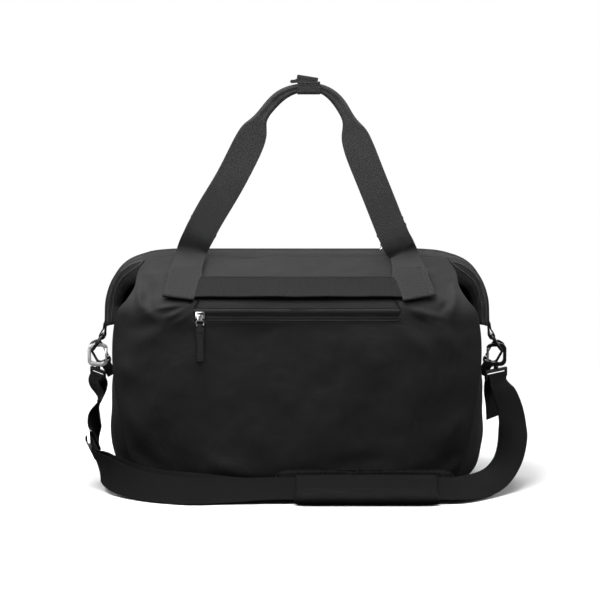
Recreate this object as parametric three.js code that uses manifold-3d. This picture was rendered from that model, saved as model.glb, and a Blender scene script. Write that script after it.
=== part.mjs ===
// A soft weekender bag with its shoulder strap.
// Millimetres, +Z up. The origin is on the floor under the middle of the bag, +X runs along the bag to
// its right-hand end and the front faces -Y.
import * as THREE from "three";
import { mergeVertices } from "three/addons/utils/BufferGeometryUtils.js";
import Module from "manifold-3d";

const wasm = await Module();
wasm.setup();

// ---- Driving dimensions ----
const GAP = 0.4; // clear space left between neighbouring pieces
const FABRIC = 1.8; // thickness of the outer cloth
const WEB = 40; // width of the handle and strap webbing
const WEB_THICK = 2.4; // thickness of the handle webbing
const STRAP_THICK = 1.6; // thickness of the strap webbing
const RIDGE_Z = 306; // top of the closed main zip
const POCKET_Z = 233.5; // height of the pocket zip
const POCKET_HALF = 132; // half the length of the pocket zip
const HANDLE_AXIS = { y: 55, z: 291 }; // where the handles leave their sewn patches
const KEEPER_X = 15.5; // middle of the handle keeper
const GRIP_Y = 5.2; // each grip's distance from the bag's middle plane
const CHORD = { x: 259, z: 190.5 }; // the straight bar of a D-ring, on the +X side
const RING_TILT = (35 * Math.PI) / 180; // how far a D-ring hangs away from upright
const RING_R = 15; // centreline radius of a D-ring
const RING_WIRE = 2.25; // radius of its wire
const RING_DROP = 8; // from its straight bar to the centre of its round part
const HOOK_X = 265.7; // middle of a shoulder hook
const HOOK_Z = 149.2; // bottom of a shoulder hook's body
const BASE_TURN = { right: 0.85, left: 1.08 }; // turn of each swivel base about the vertical

// The front face from the base up to the zip panel: distance from the middle plane, height, half width,
// and how far the face turns back at its side edges.
const PROFILE = [
  [98, 2.9, 194, 9],
  [107.5, 9, 202, 12],
  [113, 22, 208, 14],
  [115, 52, 219, 14],
  [114.5, 110, 231, 14],
  [112.5, 165, 238, 14],
  [110.5, 210, 237, 14],
  [109.5, 237, 231, 14],
  [103.5, 251, 220, 14],
  [85, 265, 211, 13],
  [60, 283.5, 207, 10],
  [37.8, 297.6, 197, 2.5],
];

// Half of the ridge line, from the middle to the tip of a folded end: [x, z].
const RIDGE = [
  [0, 306],
  [60, 306],
  [120, 306],
  [168, 305.6],
  [196, 302],
  [221, 291.5],
  [241, 272.5],
  [253, 244],
  [255.5, 212],
];

// ---- Materials ----
const finish = (color, roughness, metalness = 0) => new THREE.MeshStandardMaterial({ color, roughness, metalness });
const cloth = () => finish(0x1c1c1e, 0.75);
const webbing = () => finish(0x222223, 0.85);
const blackMetal = () => finish(0x18181a, 0.35, 0.8);
const paleMetal = () => finish(0xb9babc, 0.3, 1);

// ---- Solid-making helpers ----
const v3 = (x, y, z) => new THREE.Vector3(x, y, z);

// A closed mesh from points and triangles, turned to face out if it faces in.
function closed(points, triangles) {
  const volume = triangles.reduce((sum, [a, b, c]) => {
    return sum + points[a].dot(v3().crossVectors(points[b], points[c]));
  }, 0);
  const order = volume < 0 ? ([a, b, c]) => [a, c, b] : (t) => t;
  const geometry = new THREE.BufferGeometry().setFromPoints(points);
  geometry.setIndex(triangles.flatMap(order));
  geometry.computeVertexNormals();
  return geometry;
}

// A solid through rings of equal count: capped at its ends, or joined into a loop.
function loft(rings, loop = false) {
  const count = rings[0].length;
  const at = (i, j) => (i % rings.length) * count + (j % count);
  const triangles = [];
  for (let i = 0; i < rings.length - (loop ? 0 : 1); i++) {
    for (let j = 0; j < count; j++) {
      triangles.push([at(i, j), at(i + 1, j), at(i + 1, j + 1)], [at(i, j), at(i + 1, j + 1), at(i, j + 1)]);
    }
  }
  for (let j = 1; j < count - 1 && !loop; j++) {
    triangles.push([at(0, 0), at(0, j), at(0, j + 1)]);
    triangles.push([at(rings.length - 1, 0), at(rings.length - 1, j + 1), at(rings.length - 1, j)]);
  }
  return closed(rings.flat(), triangles);
}

// A thin skin: rows of points on its outer face, thickened towards the side that inward points to.
function skin(rows, thickness, inward) {
  const m = rows.length;
  const n = rows[0].length;
  const inner = rows.map((row, i) =>
    row.map((p, j) => {
      const along = v3().subVectors(rows[Math.min(i + 1, m - 1)][j], rows[Math.max(i - 1, 0)][j]);
      const across = v3().subVectors(row[Math.min(j + 1, n - 1)], row[Math.max(j - 1, 0)]);
      const normal = along.cross(across).normalize();
      const side = normal.dot(v3().subVectors(inward, p)) < 0 ? -thickness : thickness;
      return p.clone().addScaledVector(normal, side);
    }),
  );
  const points = [...rows.flat(), ...inner.flat()];
  const outerAt = (i, j) => i * n + j;
  const innerAt = (i, j) => m * n + i * n + j;
  const triangles = [];
  const quad = (a, b, c, d) => triangles.push([a, b, c], [a, c, d]);
  for (let i = 0; i < m - 1; i++) {
    for (let j = 0; j < n - 1; j++) {
      quad(outerAt(i, j), outerAt(i, j + 1), outerAt(i + 1, j + 1), outerAt(i + 1, j));
      quad(innerAt(i, j), innerAt(i + 1, j), innerAt(i + 1, j + 1), innerAt(i, j + 1));
    }
    quad(outerAt(i, 0), outerAt(i + 1, 0), innerAt(i + 1, 0), innerAt(i, 0));
    quad(outerAt(i + 1, n - 1), outerAt(i, n - 1), innerAt(i, n - 1), innerAt(i + 1, n - 1));
  }
  for (let j = 0; j < n - 1; j++) {
    quad(outerAt(0, j + 1), outerAt(0, j), innerAt(0, j), innerAt(0, j + 1));
    quad(outerAt(m - 1, j), outerAt(m - 1, j + 1), innerAt(m - 1, j + 1), innerAt(m - 1, j));
  }
  return closed(points, triangles);
}

// A flat strip along a smooth route. Each row is [x, y, z, width direction x, y, z] and may end with its
// own width and thickness.
function strip(rows, width, thickness, steps) {
  const route = new THREE.CatmullRomCurve3(rows.map((r) => v3(r[0], r[1], r[2])));
  const turn = new THREE.CatmullRomCurve3(rows.map((r) => v3(r[3], r[4], r[5]).normalize()));
  const size = new THREE.CatmullRomCurve3(rows.map((r) => v3(r[6] ?? width, r[7] ?? thickness, 0)));
  const rings = [];
  for (let i = 0; i <= steps; i++) {
    const t = i / steps;
    const p = route.getPoint(t);
    const along = route.getTangent(t);
    const w = turn.getPoint(t);
    w.addScaledVector(along, -w.dot(along)).normalize();
    const n = v3().crossVectors(along, w);
    const s = size.getPoint(t);
    rings.push(
      [
        [1, 1],
        [-1, 1],
        [-1, -1],
        [1, -1],
      ].map(([a, b]) => p.clone().addScaledVector(w, (a * s.x) / 2).addScaledVector(n, (b * s.y) / 2)),
    );
  }
  return loft(rings);
}

// A round wire through points that lie in one plane with the given normal, joined into a loop.
function wireLoop(points, normal, radius, sides = 8) {
  const rings = points.map((p, i) => {
    const next = points[(i + 1) % points.length];
    const last = points[(i + points.length - 1) % points.length];
    const out = v3().crossVectors(v3().subVectors(next, last).normalize(), normal);
    return Array.from({ length: sides }, (_, k) => {
      const a = (2 * Math.PI * k) / sides;
      return p.clone().addScaledVector(out, radius * Math.cos(a)).addScaledVector(normal, radius * Math.sin(a));
    });
  });
  return loft(rings, true);
}

function block(lo, hi) {
  const size = hi.map((h, i) => h - lo[i]);
  return new THREE.BoxGeometry(...size).translate(...lo.map((l, i) => l + size[i] / 2));
}

function solid(geometry) {
  const bare = geometry.clone();
  bare.deleteAttribute("normal");
  bare.deleteAttribute("uv");
  const merged = mergeVertices(bare, 1e-4);
  const triVerts = new Uint32Array(merged.index.array);
  return new wasm.Manifold(new wasm.Mesh({ numProp: 3, vertProperties: merged.attributes.position.array, triVerts }));
}

function geometryOf(manifold) {
  const mesh = manifold.getMesh();
  const geometry = new THREE.BufferGeometry();
  geometry.setAttribute("position", new THREE.BufferAttribute(mesh.vertProperties, 3));
  geometry.setIndex(new THREE.BufferAttribute(mesh.triVerts, 1));
  geometry.computeVertexNormals();
  return geometry;
}

const join = (first, ...rest) => geometryOf(rest.reduce((s, g) => s.add(solid(g)), solid(first)));
const cut = (first, ...rest) => geometryOf(rest.reduce((s, g) => s.subtract(solid(g)), solid(first)));

// A flat plate drawn in X and Z, with its holes cut through, centred on y = 0.
function plate(shape, thickness) {
  const slab = (outline, depth) => {
    const options = { depth, bevelEnabled: false, curveSegments: 6 };
    return new THREE.ExtrudeGeometry(new THREE.Shape(outline.getPoints(6)), options).translate(0, 0, -depth / 2);
  };
  const holes = shape.holes.map((hole) => slab(hole, thickness + 2));
  return cut(slab(shape, thickness), ...holes).rotateX(Math.PI / 2);
}

function roundedRect(path, x0, z0, x1, z1, r) {
  path.moveTo(x0 + r, z0);
  path.lineTo(x1 - r, z0);
  path.absarc(x1 - r, z0 + r, r, -Math.PI / 2, 0);
  path.lineTo(x1, z1 - r);
  path.absarc(x1 - r, z1 - r, r, 0, Math.PI / 2);
  path.lineTo(x0 + r, z1);
  path.absarc(x0 + r, z1 - r, r, Math.PI / 2, Math.PI);
  path.lineTo(x0, z0 + r);
  path.absarc(x0 + r, z0 + r, r, Math.PI, 1.5 * Math.PI);
  path.closePath();
  return path;
}

const bag = new THREE.Group();

function add(parent, name, geometry, material) {
  const mesh = new THREE.Mesh(geometry, material);
  mesh.name = name;
  parent.add(mesh);
  return mesh;
}

// ---- The cloth body ----
const MIDDLE = v3(0, 0, 150);

// side is -1 for the front panel and 1 for the back panel.
function facePanel(side) {
  const columns = 14;
  const rows = PROFILE.map(([depth, z, half, corner]) =>
    Array.from({ length: columns + 1 }, (_, i) => {
      const t = (2 * i) / columns - 1;
      const u = Math.sign(t) * (1 - (1 - Math.abs(t)) ** 1.25);
      return v3(u * half, side * (depth - corner * Math.abs(u) ** 5), z);
    }),
  );
  return skin(rows, FABRIC, MIDDLE);
}

const POCKET_GAP = 6.6; // half the height of the slot that the pocket zip fills
const slot = block([-POCKET_HALF, -130, POCKET_Z - POCKET_GAP], [POCKET_HALF, -80, POCKET_Z + POCKET_GAP]);
add(bag, "front_panel", cut(facePanel(-1), slot), cloth());
add(bag, "back_panel", facePanel(1), cloth());

// A side panel closes the end and is tucked in under the folded end above it.
const TUCK = [22, 29, 33, 29, 16, 3, -6, -22, -30, -34, -32, -16]; // bulge (+) or tuck (-) at each profile row
function gusset() {
  const columns = 8;
  const rows = PROFILE.map(([depth, z, half, corner], i) =>
    Array.from({ length: columns + 1 }, (_, j) => {
      const t = (2 * j) / columns - 1;
      const reach = depth - corner - (i < 8 ? 3 : i < 10 ? 6 : 12);
      const x = half - 1.5 + TUCK[i] * (1 - t * t) - (i > 6 ? 3 : 0);
      return v3(x, t * reach, Math.min(z, RIDGE_Z - 16));
    }),
  );
  return skin(rows, FABRIC, MIDDLE);
}
const ends = { right: new THREE.Group(), left: new THREE.Group() };
ends.left.scale.x = -1;
bag.add(ends.right, ends.left);
for (const side of ["left", "right"]) add(ends[side], side + "_gusset", gusset(), cloth());

const BASE_HALF = [193, 97];
const baseShape = roundedRect(new THREE.Shape(), -BASE_HALF[0], -BASE_HALF[1], BASE_HALF[0], BASE_HALF[1], 22);
const flat = (shape, z0, z1) => {
  return new THREE.ExtrudeGeometry(shape, { depth: z1 - z0, bevelEnabled: false, curveSegments: 3 }).translate(0, 0, z0);
};
add(bag, "base_panel", flat(baseShape, 0, 2.4), cloth());
const boardShape = roundedRect(new THREE.Shape(), -183, -86, 183, 86, 16);
add(bag, "base_board", flat(boardShape, 6.4, 9), finish(0x2b2b2b, 0.6));

// The lining is one open-topped bag inside the outer cloth and over the stiffening board.
function lining() {
  const LINING = [
    [176, 80, 9.6],
    [186, 90, 30],
    [190, 93, 110],
    [190, 92, 200],
    [184, 88, 240],
    [166, 70, 258],
    [160, 50, 276],
  ];
  const corner = 24;
  const ring = ([a, b, z], inset) => {
    const outline = roundedRect(new THREE.Path(), -a + inset, -b + inset, a - inset, b - inset, corner - inset);
    return outline.getPoints(2).slice(0, -1).map((p) => v3(p.x, p.y, z + (z < 10 ? inset : 0)));
  };
  const outer = LINING.map((row) => ring(row, 0));
  const inner = LINING.map((row) => ring(row, 0.8));
  return loft([...outer, ...inner.reverse()]);
}
add(bag, "lining", lining(), finish(0x3a3b3d, 0.8));

// ---- The zipped top, which runs on down both folded ends ----
const FULL_RIDGE = [...RIDGE.slice(1).map(([x, z]) => [-x, z]).reverse(), ...RIDGE];
function ridgeFrames(steps) {
  const curve = new THREE.CatmullRomCurve3(FULL_RIDGE.map(([x, z]) => v3(x, 0, z)));
  return Array.from({ length: steps + 1 }, (_, i) => {
    const t = i / steps;
    const along = curve.getTangent(t);
    return { p: curve.getPoint(t), inward: v3(along.z, 0, -along.x) };
  });
}

// How far down a folded end a point of the ridge lies: 0 on the top, 1 at the tip.
const foldShare = (x) => THREE.MathUtils.clamp((Math.abs(x) - 204) / (RIDGE.at(-1)[0] - 204), 0, 1);
const PANEL_OUT = 33; // half width of the zip panel across the top
function topPanel(side) {
  const rows = ridgeFrames(28).map(({ p, inward }) => {
    const share = foldShare(p.x);
    const wide = PANEL_OUT - 19 * share ** 2;
    const skirt = 26 * Math.sin((Math.PI / 2) * Math.min(2.2 * share, 1)) ** 0.8 * (1 - 0.3 * share);
    const point = (y, depth) => p.clone().addScaledVector(inward, depth).setY(side * y);
    return [point(5.7, 0), point(wide * 0.6, 1.6), point(wide, 5), point(wide + 1.4 + skirt * 0.25, 6.5 + skirt)];
  });
  return skin(rows, 1.6, MIDDLE);
}
add(bag, "top_panel_front", topPanel(-1), cloth());
add(bag, "top_panel_back", topPanel(1), cloth());

// A bar of rectangular section that follows the whole ridge: y0 to y1 across, d0 to d1 below it.
function ridgeBar(y0, y1, d0, d1) {
  const ring = ({ p, inward }) =>
    [
      [y0, d0],
      [y1, d0],
      [y1, d1],
      [y0, d1],
    ].map(([y, d]) => p.clone().addScaledVector(inward, d).setY(y));
  return loft(ridgeFrames(28).map(ring));
}
add(bag, "main_zip_tape_front", ridgeBar(-4.8, -1.8, 0.9, 1.8), webbing());
add(bag, "main_zip_tape_back", ridgeBar(1.8, 4.8, 0.9, 1.8), webbing());
add(bag, "main_zip_coil", ridgeBar(-1.4, 1.4, -0.3, 2.2), finish(0x151516, 0.5));

// ---- Zip sliders and their pulls, drawn with the zip along X, its face towards -Y and the pull hanging ----
const HINGE_OUT = 1.95; // a pull's hinge line, out from the middle of its slider's plate
function sliderBody() {
  const body = roundedRect(new THREE.Shape(), -6, -4.8, 6, 4.8, 2);
  const cheeks = [-1, 1].map((s) => block([-6, 0.9, Math.min(s * 2.6, s * 4.8)], [6, 2.8, Math.max(s * 2.6, s * 4.8)]));
  const arch = cut(block([-1.5, -3.8, -2.8], [1.5, -0.9, 2.8]), block([-3, -2.95, -1.5], [3, -0.5, 1.5]));
  return join(plate(body, 2), ...cheeks, arch);
}

// A flat metal link: its top bar lies in the slider's arch and its foot holds the cloth pull.
function pullLink() {
  const link = new THREE.Shape();
  link.moveTo(-3.6, 0.6);
  link.lineTo(3.6, 0.6);
  link.lineTo(3.2, -5);
  link.lineTo(5.4, -8.5);
  link.lineTo(5.4, -13);
  link.lineTo(-5.4, -13);
  link.lineTo(-5.4, -8.5);
  link.lineTo(-3.2, -5);
  link.closePath();
  const upper = new THREE.Path();
  upper.moveTo(-2.1, -0.7);
  upper.lineTo(2.1, -0.7);
  upper.lineTo(1.8, -5.4);
  upper.lineTo(-1.8, -5.4);
  upper.closePath();
  link.holes.push(upper, roundedRect(new THREE.Path(), -4.2, -11.4, 4.2, -7.2, 0.4));
  return plate(link, 1.2);
}

// The cloth pull is folded round the link's foot, which lies at the top of it.
function pullTab(length) {
  const half = [
    [3.9, 1.5],
    [3.9, -2.2],
    [5.4, -3.4],
    [5.2, -length * 0.3],
    [4.1, -length * 0.5],
    [4.2, -length],
  ];
  const outline = [...half, ...half.map(([x, z]) => [-x, z]).reverse()];
  const tab = plate(new THREE.Shape(outline.map(([x, z]) => new THREE.Vector2(x, z))), 3);
  return cut(tab, block([-8, -1.15, -1.15], [8, 1.15, 1.15]));
}
const LINK_FOOT = -12.2; // from a link's hinge line to the middle of its foot

function zipPull(name, parent, length, lean) {
  add(parent, name + "_slider", sliderBody(), paleMetal());
  const link = add(parent, name + "_link", pullLink(), paleMetal());
  link.position.set(0, -HINGE_OUT, 0);
  const tab = add(parent, name + "_pull", pullTab(length), webbing());
  tab.position.set(0, link.position.y - 0.2, LINK_FOOT);
  tab.rotation.x = lean;
}

// ---- The front pocket ----
const POCKET_FACE = -105; // the front panel's inner face at the pocket, with clearance
const tapeZ = [POCKET_Z + 2, POCKET_Z + 8];
const tape = (z0, z1) => block([-POCKET_HALF - 1, POCKET_FACE + 1.4, z0], [POCKET_HALF + 1, POCKET_FACE + 2.3, z1]);
add(bag, "pocket_zip_tape_upper", tape(...tapeZ), webbing());
add(bag, "pocket_zip_tape_lower", tape(...tapeZ.map((z) => 2 * POCKET_Z - z).reverse()), webbing());
const coil = block([-131.4, POCKET_FACE - 2.8, POCKET_Z - 1.5], [131.4, POCKET_FACE + 2.3, POCKET_Z + 1.5]);
add(bag, "pocket_zip_coil", coil, finish(0x151516, 0.5));

const POCKET_START = -124; // the slider at the closed end
const pocketPull = new THREE.Group();
pocketPull.position.set(POCKET_START, POCKET_FACE - 5, POCKET_Z);
zipPull("pocket", pocketPull, 47, -0.07);
bag.add(pocketPull);

// A flat pouch that opens forwards behind the zip.
const pouch = cut(
  block([-128, POCKET_FACE + 2.7, 96], [128, POCKET_FACE + 10.4, 243]),
  block([-127.2, POCKET_FACE + 3.6, 97], [127.2, POCKET_FACE + 9.5, 242]),
  block([-126, POCKET_FACE, POCKET_Z - POCKET_GAP], [126, POCKET_FACE + 5, POCKET_Z + POCKET_GAP]),
);
add(bag, "pocket_bag", pouch, finish(0x3a3b3d, 0.8));

// ---- Main zip sliders, which meet behind a handle, with their pulls lying on the back ----
const MAIN_START = { left: 116, right: 134 };
for (const side of ["left", "right"]) {
  const pull = new THREE.Group();
  pull.position.set(MAIN_START[side], 0, RIDGE_Z + 2.1);
  pull.rotation.set(Math.PI / 2, 0, Math.PI);
  zipPull("main_" + side, pull, 22, 0);
  bag.add(pull);
}

// ---- Handles ----
// The front handle's middle line, from its left patch over the grip to its right patch:
// [x, share of the way up, width, thickness]. Legs lean in towards the middle as they rise.
const HANDLE_TOP = 519;
const HANDLE = [
  [-141, 0.025],
  [-123, 0.21],
  [-88, 0.47],
  [-63, 0.685],
  [-56, 0.75, 36, 3.2],
  [-51, 0.795, 24, 6],
  [-46.5, 0.835, 15.5, 8.4],
  [-33, 0.91, 16, 8.4],
  [-20, 0.962, 15, 8.4],
  [0, 0.998, 11.5, 8.4],
  [16, 1, 11.5, 8.4],
  [32, 0.998, 11.5, 8.4],
  [50, 0.945, 15, 8.4],
  [61, 0.88, 16, 8.4],
  [67.5, 0.825, 15.5, 8.4],
  [71.5, 0.78, 24, 6],
  [75.5, 0.73, 36, 3.2],
  [81, 0.66],
  [95, 0.505],
  [108, 0.365],
  [126, 0.17],
  [142.5, 0.025],
];
function handle(side) {
  const place = ([x, up]) => {
    const y = HANDLE_AXIS.y - 1.5 + (GRIP_Y - HANDLE_AXIS.y + 1.5) * Math.min(1, up * 1.08) ** 1.05;
    return v3(x, side * y, HANDLE_AXIS.z + up * (HANDLE_TOP - HANDLE_AXIS.z));
  };
  const last = HANDLE.length - 1;
  const rows = HANDLE.map((row, i) => {
    const p = place(row);
    const along = v3().subVectors(place(HANDLE[Math.min(i + 1, last)]), place(HANDLE[Math.max(i - 1, 0)]));
    const across = i % last ? v3(along.z, 0, -along.x) : v3(i ? -1 : 1, 0, 0);
    return [p.x, p.y, p.z, across.x, 0, across.z, row[2], row[3]];
  });
  return strip(rows, WEB, WEB_THICK, 57);
}
add(bag, "front_handle", handle(-1), webbing());
add(bag, "back_handle", handle(1), webbing());

// The slope that the patches and bands lie on: a point at a share from the fold (0) to the zip panel (1).
const SLOPE = { low: [102.5, 252.5], high: [57, 289] };
const slopeAt = (side, x, share, out) => {
  const dy = SLOPE.low[0] - SLOPE.high[0];
  const dz = SLOPE.high[1] - SLOPE.low[1];
  const length = Math.hypot(dy, dz);
  const y = SLOPE.low[0] - dy * share + (out * dz) / length;
  return v3(x, side * y, SLOPE.low[1] + dz * share + (out * dy) / length);
};
// A patch of webbing on the slope, between two shares of it. Each skew shifts an end's top along X.
function slopePatch(side, [x0, x1], [share0, share1], [skew0, skew1], out, thick) {
  const ring = (share) =>
    [
      [x0 + skew0 * share, 0],
      [x1 + skew1 * share, 0],
      [x1 + skew1 * share, thick],
      [x0 + skew0 * share, thick],
    ].map(([x, up]) => slopeAt(side, x, share, out + up));
  return loft([0, 1 / 3, 2 / 3, 1].map((f) => ring(share0 + (share1 - share0) * f)));
}
const PATCH_X = { left: [-173, -132, 10], right: [136, 179, -14] };
for (const [face, side] of [["front", -1], ["back", 1]]) {
  const inner = [PATCH_X.left[1] + GAP, PATCH_X.right[0] - GAP];
  const skews = [PATCH_X.left[2], PATCH_X.right[2]];
  add(bag, face + "_band", slopePatch(side, inner, [0.02, 0.66], skews, 2.4, 2), webbing());
  for (const [end, [x0, x1, skew]] of Object.entries(PATCH_X)) {
    const patch = slopePatch(side, [x0, x1], [0, 0.98], [skew, skew], 2.2, WEB_THICK);
    add(bag, face + "_patch_" + end, patch, webbing());
  }
}

// The keeper holds both grips together. Its wrap is sewn to the front grip and runs under the back one,
// and its flap folds over the top and down behind, where it snaps shut.
const KEEPER_HALF = 15;
const keeperX = [KEEPER_X - KEEPER_HALF, KEEPER_X + KEEPER_HALF];
const KEEPER = { front: -GRIP_Y - 5.2, back: GRIP_Y + 5.2, under: HANDLE_TOP - 6.8, over: HANDLE_TOP + 6.3 };
const across = (y0, z0, y1, z1) => block([keeperX[0], y0, z0], [keeperX[1], y1, z1]);
const wrap = join(
  across(KEEPER.front - 2, KEEPER.under - 1.4, KEEPER.front, KEEPER.over),
  across(KEEPER.front - 2, KEEPER.under - 1.4, KEEPER.back, KEEPER.under),
);
add(bag, "keeper_wrap", wrap, webbing());
const flap = join(
  across(KEEPER.front - 2, KEEPER.over + GAP, KEEPER.back + 3.4, KEEPER.over + GAP + 1.4),
  across(KEEPER.back + 1.6, KEEPER.under - 2, KEEPER.back + 3.4, KEEPER.over + GAP + 1),
);
add(bag, "keeper_flap", flap, webbing());
const tabShape = roundedRect(new THREE.Shape(), -14, 0, 14, 5, 1.5);
const keeperTab = add(bag, "keeper_tab", plate(tabShape, 2), webbing());
keeperTab.position.set(KEEPER_X - 2, KEEPER.front + 2.4, KEEPER.over + 4.5);
keeperTab.rotation.y = 0.16;
const snap = add(bag, "keeper_snap", new THREE.CylinderGeometry(5, 5.6, 1.8, 20), blackMetal());
snap.position.set(KEEPER_X, KEEPER.back + 4.7, HANDLE_TOP);

// ---- D-rings and their tabs at the tips of the folded ends ----
const RING_DIR = v3(Math.sin(RING_TILT), 0, -Math.cos(RING_TILT));
const RING_C = v3(CHORD.x, 0, CHORD.z).addScaledVector(RING_DIR, RING_DROP);
function dRing() {
  const start = Math.acos(-RING_DROP / RING_R);
  const arc = Array.from({ length: 17 }, (_, i) => {
    const a = start - (2 * start * i) / 16;
    return RING_C.clone().addScaledVector(RING_DIR, RING_R * Math.cos(a)).add(v3(0, RING_R * Math.sin(a), 0));
  });
  return wireLoop(arc, v3().crossVectors(RING_DIR, v3(0, 1, 0)), RING_WIRE);
}
function earTab() {
  const shape = new THREE.Shape();
  const outer = RING_WIRE + 2.2;
  shape.moveTo(-outer, 0);
  shape.absarc(0, 0, outer, Math.PI, 2 * Math.PI);
  shape.lineTo(-1.2, 17.5);
  shape.lineTo(-7.6, 17.5);
  shape.closePath();
  const eye = new THREE.Path().absarc(0, 0, RING_WIRE + GAP, 0, 2 * Math.PI);
  shape.holes.push(eye);
  return plate(shape, 20).translate(CHORD.x, 0, CHORD.z);
}

// ---- Hooks ----
// A flat snap hook, open on its inner side where its gate closes it. Its bottom is at the origin.
function hookBody(half, height, wall, thick, foot, gateLow, gateHigh) {
  const outline = new THREE.Shape();
  roundedRect(outline, -half, 0, half, height, Math.min(half, 8));
  const eye = new THREE.Path();
  roundedRect(eye, -half + wall, foot, half - wall, height - wall, Math.min(half - wall - 0.1, 5));
  outline.holes.push(eye);
  return cut(plate(outline, thick), block([-half - 1, -9, gateLow], [-half + wall + 1, 9, gateHigh]));
}
function gate(half, wall, gateLow, gateHigh, thick) {
  const x = -half + wall / 2;
  return block([x - wall * 0.36, -thick / 2, gateLow + 0.9], [x + wall * 0.36, thick / 2, gateHigh - GAP]);
}
const SHOULDER = { half: 13.5, height: 30.5, wall: 4.3, foot: 5.2, low: 6, high: 24.6, thick: 4.4 };
const STEM = 3; // swivel stem between a hook and its base
const BASE = { half: 23.5, height: 13.5, slot: [4.4, 9.2] };
for (const [side, end] of Object.entries(ends)) {
  add(end, side + "_ear_tab", earTab(), webbing());
  add(end, side + "_d_ring", dRing(), blackMetal());
  const h = SHOULDER;
  const hook = new THREE.Group();
  hook.position.set(HOOK_X, 0, HOOK_Z);
  end.add(hook);
  const body = hookBody(h.half, h.height, h.wall, h.thick, h.foot, h.low, h.high);
  add(hook, side + "_strap_hook", body, side === "left" ? paleMetal() : blackMetal());
  add(hook, side + "_strap_gate", gate(h.half, h.wall, h.low, h.high, 3.6), paleMetal());
  const frame = roundedRect(new THREE.Shape(), -BASE.half, -BASE.height, BASE.half, 0, 2.5);
  frame.holes.push(roundedRect(new THREE.Path(), -21, -BASE.slot[1], 21, -BASE.slot[0], 1));
  const stem = new THREE.CylinderGeometry(3.2, 3.2, STEM + 1, 16).rotateX(Math.PI / 2).translate(0, 0, STEM / 2 - 0.5);
  const base = add(hook, side + "_hook_base", join(plate(frame, 3), stem), blackMetal());
  base.position.z = -STEM - GAP;
  base.rotation.z = BASE_TURN[side];
}

// The compression hooks pull the folded ends down to short tabs on the side panels.
const HOLD = { half: 9.6, height: 38, wall: 3, foot: 9, low: 10, high: 29, thick: 3.6, y: 8.8, lean: 0.5 };
function onRing(y) {
  const a = Math.asin(y / RING_R);
  return RING_C.clone().addScaledVector(RING_DIR, RING_R * Math.cos(a)).setY(y);
}
for (const [side, end] of Object.entries(ends)) {
  const h = HOLD;
  const hold = new THREE.Group();
  const seat = onRing(h.y);
  const up = v3(Math.sin(h.lean), 0, Math.cos(h.lean));
  const out = v3(up.z, 0, -up.x);
  const reach = h.height - h.wall - RING_WIRE - 2.4;
  hold.position.copy(seat).addScaledVector(up, -reach).addScaledVector(out, -2);
  hold.rotation.y = h.lean;
  end.add(hold);
  const body = hookBody(h.half, h.height, h.wall, h.thick, h.foot, h.low, h.high);
  const eye = block([-6.4, -9, 2.6], [6.4, 9, 6.2]);
  add(hold, side + "_hold_hook", cut(body, eye), blackMetal());
  add(hold, side + "_hold_gate", gate(h.half, h.wall, h.low, h.high, 2.6), paleMetal());
  // The tab's webbing goes up through the hook's foot and its two ends are sewn to the side panel.
  const ply = [
    [3.3, -14],
    [3.3, -6],
    [3.2, 1.4],
    [2.2, 4],
  ];
  const rows = [...ply.map(([y, z]) => [0, -y, z, 1, 0, 0]), [0, 0, 4.9, 1, 0, 0]];
  rows.push(...ply.reverse().map(([y, z]) => [0, y, z, 1, 0, 0]));
  add(hold, side + "_hold_tab", strip(rows, 12, 1.4, 24), webbing());
}


// ---- The shoulder strap, which hangs from both hooks and lies along the front on its lower edge ----
const SLOT_Z = HOOK_Z - STEM - GAP - BASE.slot[0] - 2.7; // where the webbing passes through a base's slot
const BAR_Z = SLOT_Z - 4.5;
// The stretch round a base's lower bar: side is 1 for the right, and flip turns the width direction over.
function roundBar(side, turn, flip) {
  const w = [side * Math.cos(turn) * flip, Math.sin(turn) * flip, 0];
  const n = [side * Math.sin(turn), -Math.cos(turn)];
  const at = (out, z) => [side * HOOK_X + n[0] * out, n[1] * out, z, ...w];
  const half = [
    [4.4, BAR_Z - 7],
    [2.8, BAR_Z + 1],
    [2.3, BAR_Z + 3.3],
  ];
  const back = half.map(([out, z]) => at(-out, z));
  return [...back, at(0, SLOT_Z + 0.2), ...half.reverse().map(([out, z]) => at(out, z))];
}

// The adjuster stands where the strap turns forward: s runs up the strap, w across it and n inwards.
const ADJUSTER = v3(-267, -55, 50);
const S = v3(-0.12, 0.8, 0.58).normalize();
const W = v3(-0.27, 0, 0.96).addScaledVector(S, -v3(-0.27, 0, 0.96).dot(S)).normalize();
const N = v3().crossVectors(S, W);
const byAdjuster = (s, n) => {
  const p = ADJUSTER.clone().addScaledVector(S, s).addScaledVector(N, n);
  return [p.x, p.y, p.z, W.x, W.y, W.z];
};
const frame = roundedRect(new THREE.Shape(), -24.5, -14, 24.5, 14, 3);
frame.holes.push(roundedRect(new THREE.Path(), -21.5, 2, 21.5, 11, 1));
frame.holes.push(roundedRect(new THREE.Path(), -21.5, -11, 21.5, -2, 1));
const adjuster = add(bag, "strap_adjuster", plate(frame, 3), blackMetal());
adjuster.position.copy(ADJUSTER);
adjuster.quaternion.setFromRotationMatrix(new THREE.Matrix4().makeBasis(W, N, S));

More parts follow.
